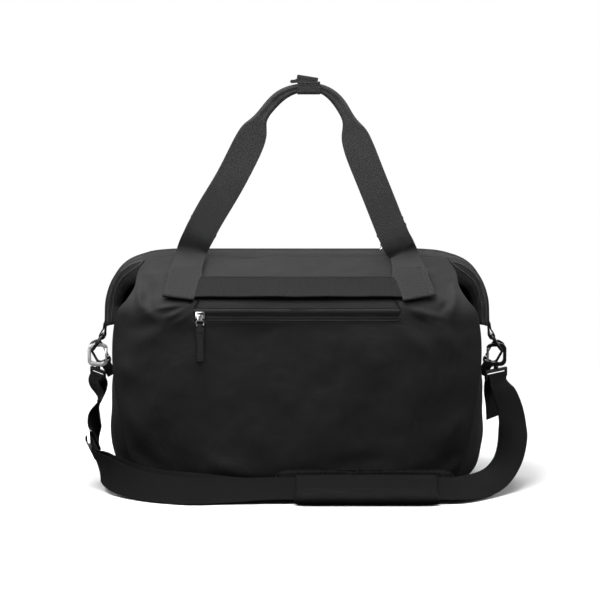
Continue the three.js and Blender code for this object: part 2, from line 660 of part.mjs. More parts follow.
// The pad's middle: the strap runs straight through it along X.
const PAD = { x: 87, y: -154, z: 16.5, lean: (35 * Math.PI) / 180, thick: 5, behind: 3.9 };
const lying = [0, Math.cos(PAD.lean), Math.sin(PAD.lean)]; // the strap's width direction in the pad
const rightEnd = roundBar(1, BASE_TURN.right, -1);
const leftEnd = roundBar(-1, BASE_TURN.left, -1).reverse();
const mainRoute = [
  [267, 14, 78, -0.68, -0.73, 0],
  [265, 12, 104, -0.66, -0.75, 0],
  ...rightEnd,
  [276, -9, 115, -0.86, -0.5, 0],
  [283, -16, 97, -0.88, -0.45, -0.05],
  [286, -28, 77, -0.9, -0.3, 0.05],
  [284, -48, 55, -0.9, 0.2, 0],
  [276, -72, 36, -0.8, 0.5, 0.2],
  [260, -101, 22, -0.5, 0.65, 0.45],
  [240, -127, 16.5, -0.25, 0.72, 0.58],
  [219, -146, 16, -0.08, 0.8, 0.58],
  [203, PAD.y, PAD.z, ...lying],
  [180, PAD.y, PAD.z, ...lying],
  [140, PAD.y, PAD.z, ...lying],
  [80, PAD.y, PAD.z, ...lying],
  [20, PAD.y, PAD.z, ...lying],
  [-32, PAD.y, PAD.z, ...lying],
  [-58, -156, 16, 0, 0.8, 0.6],
  [-95, -160, 15.2, 0, 0.74, 0.67],
  [-134, -164, 15.2, 0, 0.7, 0.71],
  [-163, -157, 15.4, 0.08, 0.68, 0.73],
  [-190, -146, 16.5, 0.15, 0.6, 0.78],
  [-216, -130, 19.5, 0.1, 0.5, 0.86],
  [-238, -111, 24.5, 0, 0.35, 0.93],
  [-254, -92, 30.5, -0.1, 0.05, 0.97],
  byAdjuster(-22, 1.5),
  byAdjuster(-14.5, 2.8),
  byAdjuster(-11, 2.9),
  byAdjuster(-8.8, 1.2),
  byAdjuster(-6.6, -2),
  byAdjuster(-3.6, -4.9),
  byAdjuster(0, -5.3),
  byAdjuster(3.6, -4.9),
  byAdjuster(6.6, -2),
  byAdjuster(8.8, 1.2),
  byAdjuster(11, 2.9),
  byAdjuster(14.5, 2.8),
  byAdjuster(22, 1.5),
  [-268.5, -30, 77, -0.3, -0.5, 0.8],
  [-265, -19, 93, -0.1, -0.95, 0.3],
  [-262, -10, 110, 0.3, -0.95, 0],
  ...leftEnd,
  [-268, 8, 108, 0.4, -0.92, 0],
];
add(bag, "strap_webbing", strip(mainRoute, 39, STRAP_THICK, 164), webbing());

// The second layer: looped round the adjuster's middle bar and sewn down inside the pad.
const layerRoute = [
  byAdjuster(-1.8, -2.75),
  byAdjuster(1, -2.75),
  byAdjuster(3.1, -2.1),
  byAdjuster(3.7, 0),
  byAdjuster(3.1, 2.1),
  byAdjuster(0.8, 2.9),
  byAdjuster(-3, 3.9),
  byAdjuster(-7.5, 4.9),
  byAdjuster(-12.5, 5.6),
  byAdjuster(-22, 6.2),
  [-249, -86, 32, -0.05, 0.05, 0.98],
  [-231, -103, 25.5, 0, 0.25, 0.96],
  [-207, -117, 20.5, 0.05, 0.5, 0.86],
  [-176, -131, 18, 0.1, 0.58, 0.8],
  [-134, -144, 17.5, 0, 0.66, 0.75],
  [-95, -152.5, 16.2, 0, 0.72, 0.69],
  [-58, -153.4, 14.5, 0, 0.8, 0.6],
  [-32, PAD.y + 1.6, PAD.z - 1.9, ...lying],
  [10, PAD.y + 1.6, PAD.z - 1.9, ...lying],
  [50, PAD.y + 1.6, PAD.z - 1.9, ...lying],
];
add(bag, "strap_second_layer", strip(layerRoute, 39, STRAP_THICK, 66), webbing());

// The pad lies behind the strap, and a sleeve sewn to its face holds the strap to it.
const padGroup = new THREE.Group();
padGroup.position.set(PAD.x, PAD.y, PAD.z);
padGroup.rotation.x = PAD.lean;
bag.add(padGroup);
const PAD_EDGE = { top: 118, bottom: 90, low: -15, high: 34 };
const padShape = new THREE.Shape();
padShape.moveTo(-PAD_EDGE.bottom, PAD_EDGE.low);
padShape.lineTo(PAD_EDGE.bottom, PAD_EDGE.low);
padShape.quadraticCurveTo(PAD_EDGE.top, PAD_EDGE.low, PAD_EDGE.top, 12);
padShape.quadraticCurveTo(PAD_EDGE.top, PAD_EDGE.high, PAD_EDGE.top - 22, PAD_EDGE.high);
padShape.lineTo(-PAD_EDGE.top + 22, PAD_EDGE.high);
padShape.quadraticCurveTo(-PAD_EDGE.top, PAD_EDGE.high, -PAD_EDGE.top, 12);
padShape.quadraticCurveTo(-PAD_EDGE.top, PAD_EDGE.low, -PAD_EDGE.bottom, PAD_EDGE.low);
const padBody = new THREE.ExtrudeGeometry(padShape, { depth: PAD.thick, bevelEnabled: false, curveSegments: 4 });
add(padGroup, "shoulder_pad", padBody.translate(0, 0, -PAD.behind - PAD.thick), finish(0x1e1e20, 0.8));
// The sleeve's section, as [across the pad, out from the strap]: its padded lower edge turns up over its front.
const SLEEVE = [
  [-22.5, -3.5],
  [-26, -1.5],
  [-30, 4],
  [-28, 10],
  [-18, 12.5],
  [-8, 11],
  [-5, 8],
  [-5, 4],
  [22, 3.6],
  [22.5, -3.5],
  [21, -3.5],
  [21, 2.6],
  [-21, 2.6],
  [-21, -3.5],
];
const sleeveShape = new THREE.Shape(SLEEVE.map(([a, b]) => new THREE.Vector2(a, b)));
const sleeve = new THREE.ExtrudeGeometry(sleeveShape, { depth: 180, bevelEnabled: false });
sleeve.applyMatrix4(new THREE.Matrix4().makeBasis(v3(0, 1, 0), v3(0, 0, 1), v3(1, 0, 0))).translate(-88, 0, 0);
add(padGroup, "pad_sleeve", sleeve, cloth());

export default bag;
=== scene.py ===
"""Weekender bag: its finished surfaces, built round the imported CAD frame.

Metres, +Z up, the bag's front faces -Y. Soft pieces are lofted or simulated cloth, hard pieces are the
CAD solids with rounded edges, and every place comes from the CAD's own driving dimensions.
"""

from math import acos, copysign, cos, exp, hypot, pi, radians, sin, sqrt

import bmesh
import bpy
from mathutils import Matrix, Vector, noise


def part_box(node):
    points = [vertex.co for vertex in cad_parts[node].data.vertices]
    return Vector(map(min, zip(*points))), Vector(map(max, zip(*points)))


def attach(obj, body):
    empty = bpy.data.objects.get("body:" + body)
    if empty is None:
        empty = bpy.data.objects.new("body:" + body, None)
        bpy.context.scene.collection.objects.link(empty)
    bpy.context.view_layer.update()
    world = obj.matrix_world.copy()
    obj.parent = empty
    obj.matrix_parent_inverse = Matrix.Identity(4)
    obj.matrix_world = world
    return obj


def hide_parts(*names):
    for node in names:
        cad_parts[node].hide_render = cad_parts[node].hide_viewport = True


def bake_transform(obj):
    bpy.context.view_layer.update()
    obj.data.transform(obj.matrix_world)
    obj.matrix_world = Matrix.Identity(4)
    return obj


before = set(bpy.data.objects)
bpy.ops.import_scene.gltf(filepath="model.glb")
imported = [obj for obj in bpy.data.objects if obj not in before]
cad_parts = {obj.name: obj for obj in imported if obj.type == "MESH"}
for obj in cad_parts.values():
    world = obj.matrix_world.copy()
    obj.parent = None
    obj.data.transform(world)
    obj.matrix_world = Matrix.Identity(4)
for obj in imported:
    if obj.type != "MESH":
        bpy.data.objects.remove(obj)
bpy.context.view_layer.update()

# ---- Driving dimensions, as in the CAD ----
RIDGE_Z = 0.306
POCKET_Z = 0.2335  # height of the pocket zip
POCKET_HALF = 0.132  # half the length of its slot
POCKET_GAP = 0.0066  # half the height of the slot
CLOTH_THICK, TOP_THICK = 0.0018, 0.0014  # shell and bands; top panels and pleats
WEB = 0.040  # width of the handle webbing
WEB_THICK = 0.0024
STRAP = 0.039  # width of the strap webbing
STRAP_THICK = 0.0016
KEEPER_X = 0.0155
CHORD = Vector((0.259, 0, 0.1905))  # straight bar of the right D-ring
RING_TILT = radians(35)
RING_R, RING_WIRE, RING_DROP = 0.015, 0.00225, 0.008
HOOK_X, HOOK_Z = 0.2657, 0.1492
BASE_TURN = {"right": 0.85, "left": 1.08}

# The face from the base up to the zip panel: distance from the middle plane, height, half width, and how
# far the face turns back at its side edges.
PROFILE = [
    (0.0980, 0.0029, 0.194, 0.009),
    (0.1075, 0.0090, 0.202, 0.012),
    (0.1130, 0.0220, 0.208, 0.014),
    (0.1150, 0.0520, 0.219, 0.014),
    (0.1145, 0.1100, 0.231, 0.014),
    (0.1125, 0.1650, 0.238, 0.014),
    (0.1105, 0.2100, 0.237, 0.014),
    (0.1095, 0.2370, 0.231, 0.014),
    (0.1035, 0.2510, 0.220, 0.014),
    (0.0850, 0.2650, 0.211, 0.013),
    (0.0600, 0.2835, 0.207, 0.010),
    (0.0378, 0.2976, 0.197, 0.0025),
]
# Edge angles in the CAD solids: merged away, rounded over, and left sharp afterwards.
NEARLY_FLAT, ROUNDED_OVER, STAYS_SHARP = radians(2), radians(35), radians(50)
# How far the side panel bulges (+) or is tucked in (-) at each row of the profile.
TUCK = [0.022, 0.029, 0.033, 0.029, 0.016, 0.003, -0.006, -0.022, -0.030, -0.034, -0.032, -0.016]
# Half of the ridge line, from the middle to the tip of a folded end.
RIDGE = [
    (0, RIDGE_Z),
    (0.060, RIDGE_Z),
    (0.120, RIDGE_Z),
    (0.168, 0.3056),
    (0.196, 0.3020),
    (0.221, 0.2915),
    (0.241, 0.2725),
    (0.253, 0.2440),
    (0.2555, 0.2120),
]


# ---- Curves ----
def smooth_at(points, t):
    """A centripetal Catmull-Rom curve through points, at t from 0 to 1."""
    last = len(points) - 1
    i = min(int(t * last), last - 1)
    w = t * last - i
    p1, p2 = points[i], points[i + 1]
    p0 = points[i - 1] if i else 2 * p1 - p2
    p3 = points[i + 2] if i + 2 <= last else 2 * p2 - p1
    dt1 = (p2 - p1).length ** 0.5 or 1
    dt0 = (p1 - p0).length ** 0.5 or dt1
    dt2 = (p3 - p2).length ** 0.5 or dt1
    m1 = ((p1 - p0) / dt0 - (p2 - p0) / (dt0 + dt1) + (p2 - p1) / dt1) * dt1
    m2 = ((p2 - p1) / dt1 - (p3 - p1) / (dt1 + dt2) + (p3 - p2) / dt2) * dt1
    return p1 + m1 * w + (p2 * 3 - p1 * 3 - m1 * 2 - m2) * w**2 + (p1 * 2 - p2 * 2 + m1 + m2) * w**3


def direction_at(points, t, near=1e-4):
    return (smooth_at(points, min(t + near, 1)) - smooth_at(points, max(t - near, 0))).normalized()


def clamp(t):
    return min(max(t, 0), 1)


def ease(t):
    t = clamp(t)
    return t * t * (3 - 2 * t)


def bell(d, width):
    return exp(-((d / width) ** 2))


def ripple(x, y, z, scale, seed):
    """Smooth noise from -1 to 1, with features about 1/scale metres across."""
    return noise.noise(Vector((x * scale + seed, y * scale - seed, z * scale + 0.7 * seed)))


# ---- Meshes ----
def placed(name, data):
    obj = bpy.data.objects.new(name, data)
    bpy.context.scene.collection.objects.link(obj)
    return obj


def mount(obj, body, slot, *nodes):
    """obj rides on body and stands for the CAD nodes; slot is not used."""
    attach(obj, body)
    if nodes:
        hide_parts(*nodes)
    return obj


def piece(name, points, faces, material, flat=False):
    mesh = bpy.data.meshes.new(name)
    mesh.from_pydata([tuple(p) for p in points], [], faces)
    obj = placed(name, mesh)
    mesh.materials.append(material)
    tidy = bmesh.new()
    tidy.from_mesh(mesh)
    bmesh.ops.recalc_face_normals(tidy, faces=tidy.faces)
    tidy.to_mesh(mesh)
    tidy.free()
    for polygon in mesh.polygons:
        polygon.use_smooth = not flat
    return obj


def bake(obj):
    """Applies obj's modifiers to its mesh."""
    bpy.context.view_layer.update()
    done = bpy.data.meshes.new_from_object(obj.evaluated_get(bpy.context.evaluated_depsgraph_get()))
    obj.modifiers.clear()
    obj.data = done
    return obj


def thicken(obj, thickness, offset=-1):
    solid = obj.modifiers.new("thickness", "SOLIDIFY")
    solid.thickness = thickness
    solid.offset = offset
    solid.use_even_offset = False
    return bake(obj)


def sheet(name, grid, material, skip=lambda i, j: False):
    """One surface through a grid of points, open where skip says so."""
    n = len(grid[0])
    faces = [
        (i * n + j, i * n + j + 1, (i + 1) * n + j + 1, (i + 1) * n + j)
        for i in range(len(grid) - 1)
        for j in range(n - 1)
        if not skip(i, j)
    ]
    return piece(name, [p for row in grid for p in row], faces, material)


def loft(name, rings, material, loop=False, flat=False):
    """A closed body through rings of points, capped at both ends unless the rings close on themselves."""
    n = len(rings[0])
    points = [p for ring in rings for p in ring]
    count = len(rings)
    faces = []
    for i in range(count if loop else count - 1):
        a, b = i * n, (i + 1) % count * n
        faces += [(a + k, a + (k + 1) % n, b + (k + 1) % n, b + k) for k in range(n)]
    if not loop:
        faces += [tuple(range(n)), tuple(range((count - 1) * n, count * n))]
    return piece(name, points, faces, material, flat)


def lay_attribute(obj, values):
    """Stores each vertex's place along and across its webbing, which the weave follows."""
    attribute = obj.data.attributes.new("lay", "FLOAT_VECTOR", "POINT")
    attribute.data.foreach_set("vector", [c for v in values for c in v])


def web_section(width, thick, radius):
    """Half-unit outline of webbing: flat faces with small ridges at the selvedges, and rounded edges."""
    a, b = width / 2, thick / 2
    r = min(radius, b * 0.98)
    out = []
    for sx, sy, start in ((1, 1, 0), (-1, 1, 90), (-1, -1, 180), (1, -1, 270)):
        for k in range(4):
            angle = radians(start + 30 * k)
            out.append((sx * (a - r) + r * cos(angle), sy * (b - r) + r * sin(angle)))
        if sx * sy > 0:
            out += [(sx * (a - r) * f, sy * b) for f in (0.93, 0.6, 0.2, -0.2, -0.6, -0.93)]
    return out


def webbing_strip(name, rows, width, thickness, steps, material, radius, shape=None):
    """Webbing along a route. Each row is (x, y, z, width direction x, y, z) and may end with its own width
    and thickness. radius rounds its edges and may be a function of the thickness. shape(place, across,
    normal) may move a point."""
    route = [Vector(r[:3]) for r in rows]
    turn = [Vector(r[3:6]).normalized() for r in rows]
    size = [Vector((*(r[6:8] if len(r) > 6 else (width, thickness)), 0)) for r in rows]
    rings, lay, run, last = [], [], 0, None
    for i in range(steps + 1):
        t = i / steps
        p = smooth_at(route, t)
        along = direction_at(route, t)
        w = smooth_at(turn, t)
        w = (w - along * w.dot(along)).normalized()
        n = along.cross(w)
        s = smooth_at(size, t)
        run += (p - last).length if last else 0
        last = p
        ring = []
        for a, b in web_section(s.x, s.y, radius(s.y) if callable(radius) else radius):
            q = p + w * a + n * b
            ring.append(shape(q, a, n * (1 if b > 0 else -1)) if shape else q)
            lay.append((run, a, b))
        rings.append(ring)
    obj = loft(name, rings, material)
    lay_attribute(obj, lay)
    return obj


def tube(name, path, radius, material, sides, loop=False, reference=Vector((0.3, 0.5, 0.81))):
    """A round wire or piping along points. Its first ring starts square to reference."""
    count = len(path)
    rings = []
    side = None
    for i, p in enumerate(path):
        q = path[(i + 1) % count] if loop else path[min(i + 1, count - 1)]
        o = path[i - 1] if loop or i else path[0]
        along = (q - o).normalized()
        side = (side or reference.cross(along)).normalized()
        side = (side - along * side.dot(along)).normalized()
        other = along.cross(side)
        angles = (2 * pi * k / sides for k in range(sides))
        rings.append([p + (side * cos(a) + other * sin(a)) * radius for a in angles])
    return loft(name, rings, material, loop)


def stitches(name, body, runs, material, pitch=0.0034, length=0.0024, wide=0.00075):
    """Rows of thread on body: each run is (points, normals), and each stitch is a small raised lozenge."""
    points, faces = [], []
    for path, normals in runs:
        travelled = [0]
        for a, b in zip(path, path[1:]):
            travelled.append(travelled[-1] + (b - a).length)
        for k in range(int(travelled[-1] / pitch)):
            at = (k + 0.5) * pitch
            i = max(j for j in range(len(path) - 1) if travelled[j] <= at)
            share = (at - travelled[i]) / max(travelled[i + 1] - travelled[i], 1e-9)
            p = path[i].lerp(path[i + 1], share)
            along = (path[i + 1] - path[i]).normalized()
            up = normals[i].lerp(normals[i + 1], share).normalized()
            across = up.cross(along).normalized()
            base = len(points)
            ends = [p - along * length / 2 - up * wide * 0.5, p + along * length / 2 - up * wide * 0.5]
            mid = [across * wide / 2, up * wide * 0.62, -across * wide / 2, -up * wide * 0.6]
            rings = [[p + along * length * f + m for m in mid] for f in (-0.3, 0.3)]
            points += [ends[0], *rings[0], *rings[1], ends[1]]
            for m in range(4):
                n = (m + 1) % 4
                faces += [
                    (base, base + 1 + n, base + 1 + m),
                    (base + 1 + m, base + 1 + n, base + 5 + n, base + 5 + m),
                    (base + 9, base + 5 + m, base + 5 + n),
                ]
    mount(piece(name, points, faces, material), body, "webbing")


def carried(node, name, material, body, slot, bevel, segments=2):
    """The CAD solid of a hard part with its edges rounded over, riding on body."""
    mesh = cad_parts[node].data.copy()
    work = bmesh.new()
    work.from_mesh(mesh)
    bmesh.ops.remove_doubles(work, verts=work.verts, dist=1e-6)
    bmesh.ops.dissolve_limit(work, angle_limit=NEARLY_FLAT, verts=work.verts, edges=work.edges)
    work.to_mesh(mesh)
    work.free()
    mesh.materials.clear()
    mesh.materials.append(material)
    obj = placed(name, mesh)
    obj.matrix_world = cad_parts[node].matrix_world
    if bevel:
        edge = obj.modifiers.new("edges", "BEVEL")
        edge.width = bevel
        edge.segments = segments
        edge.limit_method = "ANGLE"
        edge.angle_limit = ROUNDED_OVER
        edge.use_clamp_overlap = True
    bake(obj)
    for polygon in obj.data.polygons:
        polygon.use_smooth = True
    obj.data.set_sharp_from_angle(angle=STAYS_SHARP)
    return mount(obj, body, slot, node)


# ---- Materials ----
class Nodes:
    """A Principled material and short calls that add nodes to it."""

    def __init__(self, name, color, roughness, metallic=0.0, **sockets):
        self.material = bpy.data.materials.new(name)
        self.material.use_nodes = True
        self.tree = self.material.node_tree
        self.shader = self.tree.nodes["Principled BSDF"]
        self.set("Base Color", (*color, 1))
        self.set("Roughness", roughness)
        self.set("Metallic", metallic)
        for key, value in sockets.items():
            self.set(key.replace("_", " "), value)

    def set(self, socket, value):
        self.shader.inputs[socket].default_value = value

    def node(self, kind, **settings):
        made = self.tree.nodes.new(kind)
        for key, value in settings.items():
            if hasattr(made, key):
                setattr(made, key, value)
            else:
                made.inputs[key.replace("_", " ")].default_value = value
        return made

    def link(self, a, b):
        self.tree.links.new(a, b)

    def math(self, operation, a, b=0.0):
        made = self.node("ShaderNodeMath", operation=operation)
        for value, socket in ((a, made.inputs[0]), (b, made.inputs[1])):
            if isinstance(value, (int, float)):
                socket.default_value = value
            else:
                self.link(value, socket)
        return made.outputs[0]

    def add(self, a, b):
        return self.math("ADD", a, b)

    def times(self, a, b):
        return self.math("MULTIPLY", a, b)

    def coordinate(self, attribute=None):
        if attribute:
            return self.node("ShaderNodeAttribute", attribute_name=attribute).outputs["Vector"]
        return self.node("ShaderNodeTexCoord").outputs["Object"]

    def waves(self, vector, *periods):
        """One sine wave along each axis of vector."""
        split = self.node("ShaderNodeSeparateXYZ")
        self.link(vector, split.inputs[0])
        turns = [self.times(split.outputs[k], 2 * pi / period) for k, period in enumerate(periods)]
        return [self.math("SINE", turn) for turn in turns]

    def noise(self, vector, scale, detail=3.0, roughness=0.55):
        made = self.node("ShaderNodeTexNoise", Scale=scale, Detail=detail, Roughness=roughness)
        self.link(vector, made.inputs["Vector"])
        return made.outputs["Fac"]

    def blend_color(self, factor, dark, light):
        made = self.node("ShaderNodeMix", data_type="RGBA")
        self.link(factor, made.inputs["Factor"])
        made.inputs["A"].default_value = (*dark, 1)
        made.inputs["B"].default_value = (*light, 1)
        self.link(made.outputs["Result"], self.shader.inputs["Base Color"])

    def ranged(self, value, low, high, socket):
        made = self.node("ShaderNodeMapRange")
        self.link(value, made.inputs["Value"])
        made.inputs["To Min"].default_value = low
        made.inputs["To Max"].default_value = high
        self.link(made.outputs["Result"], self.shader.inputs[socket])

    def bump(self, height, distance):
        made = self.node("ShaderNodeBump", Strength=1.0, Distance=distance)
        self.link(height, made.inputs["Height"])
        self.link(made.outputs["Normal"], self.shader.inputs["Normal"])


def cloth_material(name, dark, light, thread=0.0011, roughness=0.62, depth=0.00016, sheen=0.03):
    """Plain-woven cloth: fine threads both ways, slow colour variation, a little fuzz, and painted shade
    between the threads.
    """
    m = Nodes(name, light, roughness, Specular_IOR_Level=0.08, Sheen_Weight=sheen, Sheen_Roughness=0.45)
    place = m.coordinate()
    x, y, z = m.waves(place, thread, thread, thread)
    weave = m.add(m.add(x, y), z)
    slubs = m.noise(place, 900, 2.0)
    slow = m.noise(place, 14, 4.0)
    # Colour: slow random tone, plus painted shade where the weave is low between the threads.
    m.blend_color(m.add(slow, m.times(weave, 0.05)), dark, light)
    m.ranged(m.noise(place, 60, 3.0), roughness - 0.06, roughness + 0.08, "Roughness")
    m.bump(m.add(m.times(weave, 0.25), m.times(slubs, 0.9)), depth)
    return m.material


WARP = 0.0012  # from one warp thread to the next


def webbing_material(name, dark, light, rib=0.0018):
    """Ribbed webbing: ribs across it, fine warp threads along it, and painted shade darkening the valleys
    between them.
    """
    roughness = 0.78
    m = Nodes(name, light, roughness, Specular_IOR_Level=0.12, Sheen_Weight=0.03, Sheen_Roughness=0.5)
    ribs, warp = m.waves(m.coordinate("lay"), rib, WARP)
    height = m.add(ribs, m.times(warp, 0.35))
    fuzz = m.noise(m.coordinate(), 1100, 2.0)
    # Painted shade: the colour darkens with the rib and warp height, in the valleys between the ribs.
    shade = m.add(m.times(height, 0.12), 0.5)
    m.blend_color(m.add(shade, m.times(m.math("SUBTRACT", fuzz, 0.5), 0.3)), dark, light)
    m.ranged(fuzz, roughness - 0.06, roughness + 0.08, "Roughness")
    m.bump(m.add(height, fuzz), 0.00012)
    return m.material


def metal_material(name, color, roughness, metallic=1.0, coat=0.0):
    """Cast or plated metal: fine grain in its roughness, and slow patches of duller and paler finish."""
    scratch = 0.35
    m = Nodes(name, color, roughness, metallic, Coat_Weight=coat, Coat_Roughness=0.2)
    place = m.coordinate()
    grain = m.noise(place, 700, 4.0, 0.7)
    wear = m.noise(place, 120, 3.0)
    m.ranged(m.add(m.times(grain, 0.5), m.times(wear, 0.5)),
             roughness * (1 - scratch), roughness * (1 + scratch), "Roughness")
    m.blend_color(wear, tuple(c * 0.82 for c in color), tuple(min(c * 1.12, 1) for c in color))
    m.bump(grain, 0.00003)
    return m.material


SHELL = cloth_material("shell_cloth", (0.019, 0.019, 0.0198), (0.031, 0.031, 0.032))
# A darker copy of the shell cloth: painted shade on the side panels, the base, the corner seams and the
# side pleats.
SHADED_SIDE_CLOTH = cloth_material("side_cloth_painted_shade", (0.010, 0.010, 0.0105), (0.017, 0.017, 0.0175))
PADDED = cloth_material("pad_cloth", (0.0032, 0.0032, 0.0034), (0.0054, 0.0054, 0.0056), depth=0.00022)
LINING = cloth_material("lining_cloth", (0.05, 0.05, 0.055), (0.09, 0.09, 0.095), 0.0008, 0.5)
WEBBING = webbing_material("webbing", (0.021, 0.021, 0.0215), (0.037, 0.037, 0.038))
# Painted shade: the strap's webbing is made much darker than the handle webbing to take out the light that
# falls on it.
STRAP_SHADED_WEB = webbing_material("strap_webbing", (0.0024, 0.0024, 0.0026), (0.0044, 0.0044, 0.0046), 0.0014)
BAND = webbing_material("band_webbing", (0.007, 0.007, 0.0074), (0.0145, 0.0145, 0.0150), 0.0030)
FINE = 0.00008  # depth of the weave in thread, tape and piping
BOLD = (0.034, 0.034, 0.035), (0.056, 0.056, 0.057)
PATCH_THREAD = cloth_material("patch_thread", *BOLD, 0.0005, 0.5, FINE)
# A lighter copy of the cloth for the ear seams: a painted highlight along their ridges.
SEAM_HIGHLIGHT = cloth_material("ear_seam_painted_highlight", (0.055, 0.055, 0.056), (0.080, 0.080, 0.082), 0.0008, 0.5, FINE)
TAPE = cloth_material("zip_tape", (0.016, 0.016, 0.0165), (0.026, 0.026, 0.027), 0.0009, 0.55, FINE)
THREAD = cloth_material("thread", (0.024, 0.024, 0.025), (0.042, 0.042, 0.043), 0.0005, 0.5, FINE)
COIL = cloth_material("zip_coil", (0.007, 0.007, 0.008), (0.015, 0.015, 0.016), 0.0016, 0.42, 0.0003, 0.0)
BLACK_METAL = metal_material("black_metal", (0.022, 0.022, 0.024), 0.36, 0.6, coat=0.25)
PALE_METAL = metal_material("pale_metal", (0.80, 0.80, 0.81), 0.26)
GREY_METAL = metal_material("grey_metal", (0.60, 0.60, 0.61), 0.38)
# Materials with the slots that they go with.
BLACK, PALE, GREY = (BLACK_METAL, "black_metal"), (PALE_METAL, "pale_metal"), (GREY_METAL, "pale_metal")


# ---- The cloth shell ----
ROWS = [Vector((d, z, half)) for d, z, half, _ in PROFILE]
SHAPES = [Vector((corner, tuck, 0)) for (_, _, _, corner), tuck in zip(PROFILE, TUCK)]


def profile_at(t):
    """Depth, height, half width, turn-back and tuck of the body at a share of its profile."""
    (depth, z, half), (corner, tuck, _) = smooth_at(ROWS, t), smooth_at(SHAPES, t)
    return depth, z, half, corner, tuck


def near_segment(x, z, a, b):
    """Distance from (x, z) to the segment a-b, and how far along it the nearest point is."""
    p, a, b = Vector((x, z)), Vector(a), Vector(b)
    share = clamp((p - a).dot(b - a) / (b - a).length_squared)
    return (p - a.lerp(b, share)).length, share


# Soft folds in the front: from, to, width and how far it stands out (+) or dips (-).
CREASES = [
    ((-0.182, 0.2405), (-0.143, 0.2480), 0.0034, 0.0012),
    ((-0.164, 0.2310), (-0.131, 0.2490), 0.0036, 0.0014),
    ((-0.158, 0.2220), (-0.133, 0.2380), 0.0034, 0.0009),
    ((-0.172, 0.2360), (-0.136, 0.2440), 0.0040, -0.0010),
    ((-0.207, 0.2720), (-0.202, 0.2500), 0.0045, 0.0016),
    ((-0.200, 0.2560), (-0.190, 0.2440), 0.0050, -0.0014),
    ((-0.196, 0.2420), (-0.176, 0.2260), 0.0060, 0.0010),
    ((0.143, 0.2420), (0.186, 0.2300), 0.0040, 0.0011),
    ((0.139, 0.2360), (0.172, 0.2200), 0.0040, -0.0010),
    ((0.206, 0.2700), (0.203, 0.2460), 0.0045, 0.0014),
    ((0.196, 0.2500), (0.184, 0.2380), 0.0050, -0.0012),
    ((-0.150, 0.240), (-0.200, 0.196), 0.010, 0.0011),
    ((-0.158, 0.226), (-0.214, 0.214), 0.008, -0.0008),
    ((-0.134, 0.246), (-0.150, 0.222), 0.006, 0.0008),
    ((-0.128, 0.222), (-0.160, 0.190), 0.012, -0.0007),
    ((-0.205, 0.262), (-0.196, 0.238), 0.008, 0.0022),
    ((-0.196, 0.250), (-0.186, 0.262), 0.007, -0.0016),
    ((0.150, 0.240), (0.205, 0.190), 0.011, 0.0016),
    ((0.140, 0.228), (0.190, 0.206), 0.010, -0.0014),
    ((0.205, 0.262), (0.200, 0.232), 0.008, 0.0020),
    ((0.134, 0.222), (0.170, 0.178), 0.013, 0.0010),
    ((-0.235, 0.170), (-0.205, 0.150), 0.012, 0.0012),
    ((-0.222, 0.110), (-0.196, 0.070), 0.013, 0.0015),
    ((-0.212, 0.062), (-0.180, 0.030), 0.012, -0.0016),
    ((0.222, 0.112), (0.194, 0.072), 0.014, 0.0014),
    ((0.212, 0.058), (0.176, 0.026), 0.012, -0.0015),
    ((-0.110, 0.040), (-0.040, 0.022), 0.012, 0.0012),
    ((0.020, 0.030), (0.110, 0.044), 0.013, -0.0011),
    ((-0.060, 0.150), (0.010, 0.110), 0.026, 0.0007),
    ((0.060, 0.180), (0.120, 0.120), 0.028, -0.0007),
    ((-0.080, 0.286), (-0.056, 0.262), 0.007, 0.0012),
    ((-0.066, 0.290), (-0.046, 0.268), 0.006, -0.0010),
    ((0.010, 0.292), (0.034, 0.264), 0.009, 0.0009),
    ((0.100, 0.290), (0.088, 0.262), 0.008, 0.0010),
    ((-0.190, 0.280), (-0.160, 0.262), 0.009, 0.0013),
    ((0.165, 0.284), (0.192, 0.262), 0.009, 0.0012),
]


def rumple(x, z, seed):
    """How far the cloth stands out of its smooth shape: less behind the band, more along the top."""
    calm = 1 - 0.6 * ease((0.19 - abs(x)) / 0.02) * ease((z - 0.240) / 0.012) * ease((0.296 - z) / 0.01)
    out = 0.0034 * ripple(x * 0.75, 0.3, z, 9, seed) + 0.0019 * ripple(x, 1.7, z * 0.8, 22, seed)
    out += 0.00055 * ripple(x, 4.2, z, 60, seed)
    out *= calm
    slack = 0.0017 * ripple(x, 2.2, z * 1.6, 34, seed) + 0.0009 * ripple(x * 0.7, 5.1, z * 2, 70, seed)
    out += ease((z - 0.258) / 0.02) * slack
    flip = 1 if seed < 5 else -1
    for a, b, wide, height in CREASES:
        d, share = near_segment(x * flip, z, a, b)
        if d < 3 * wide:
            out += 1.9 * calm * height * bell(d, wide) * sin(pi * (0.12 + 0.76 * share))
    return out


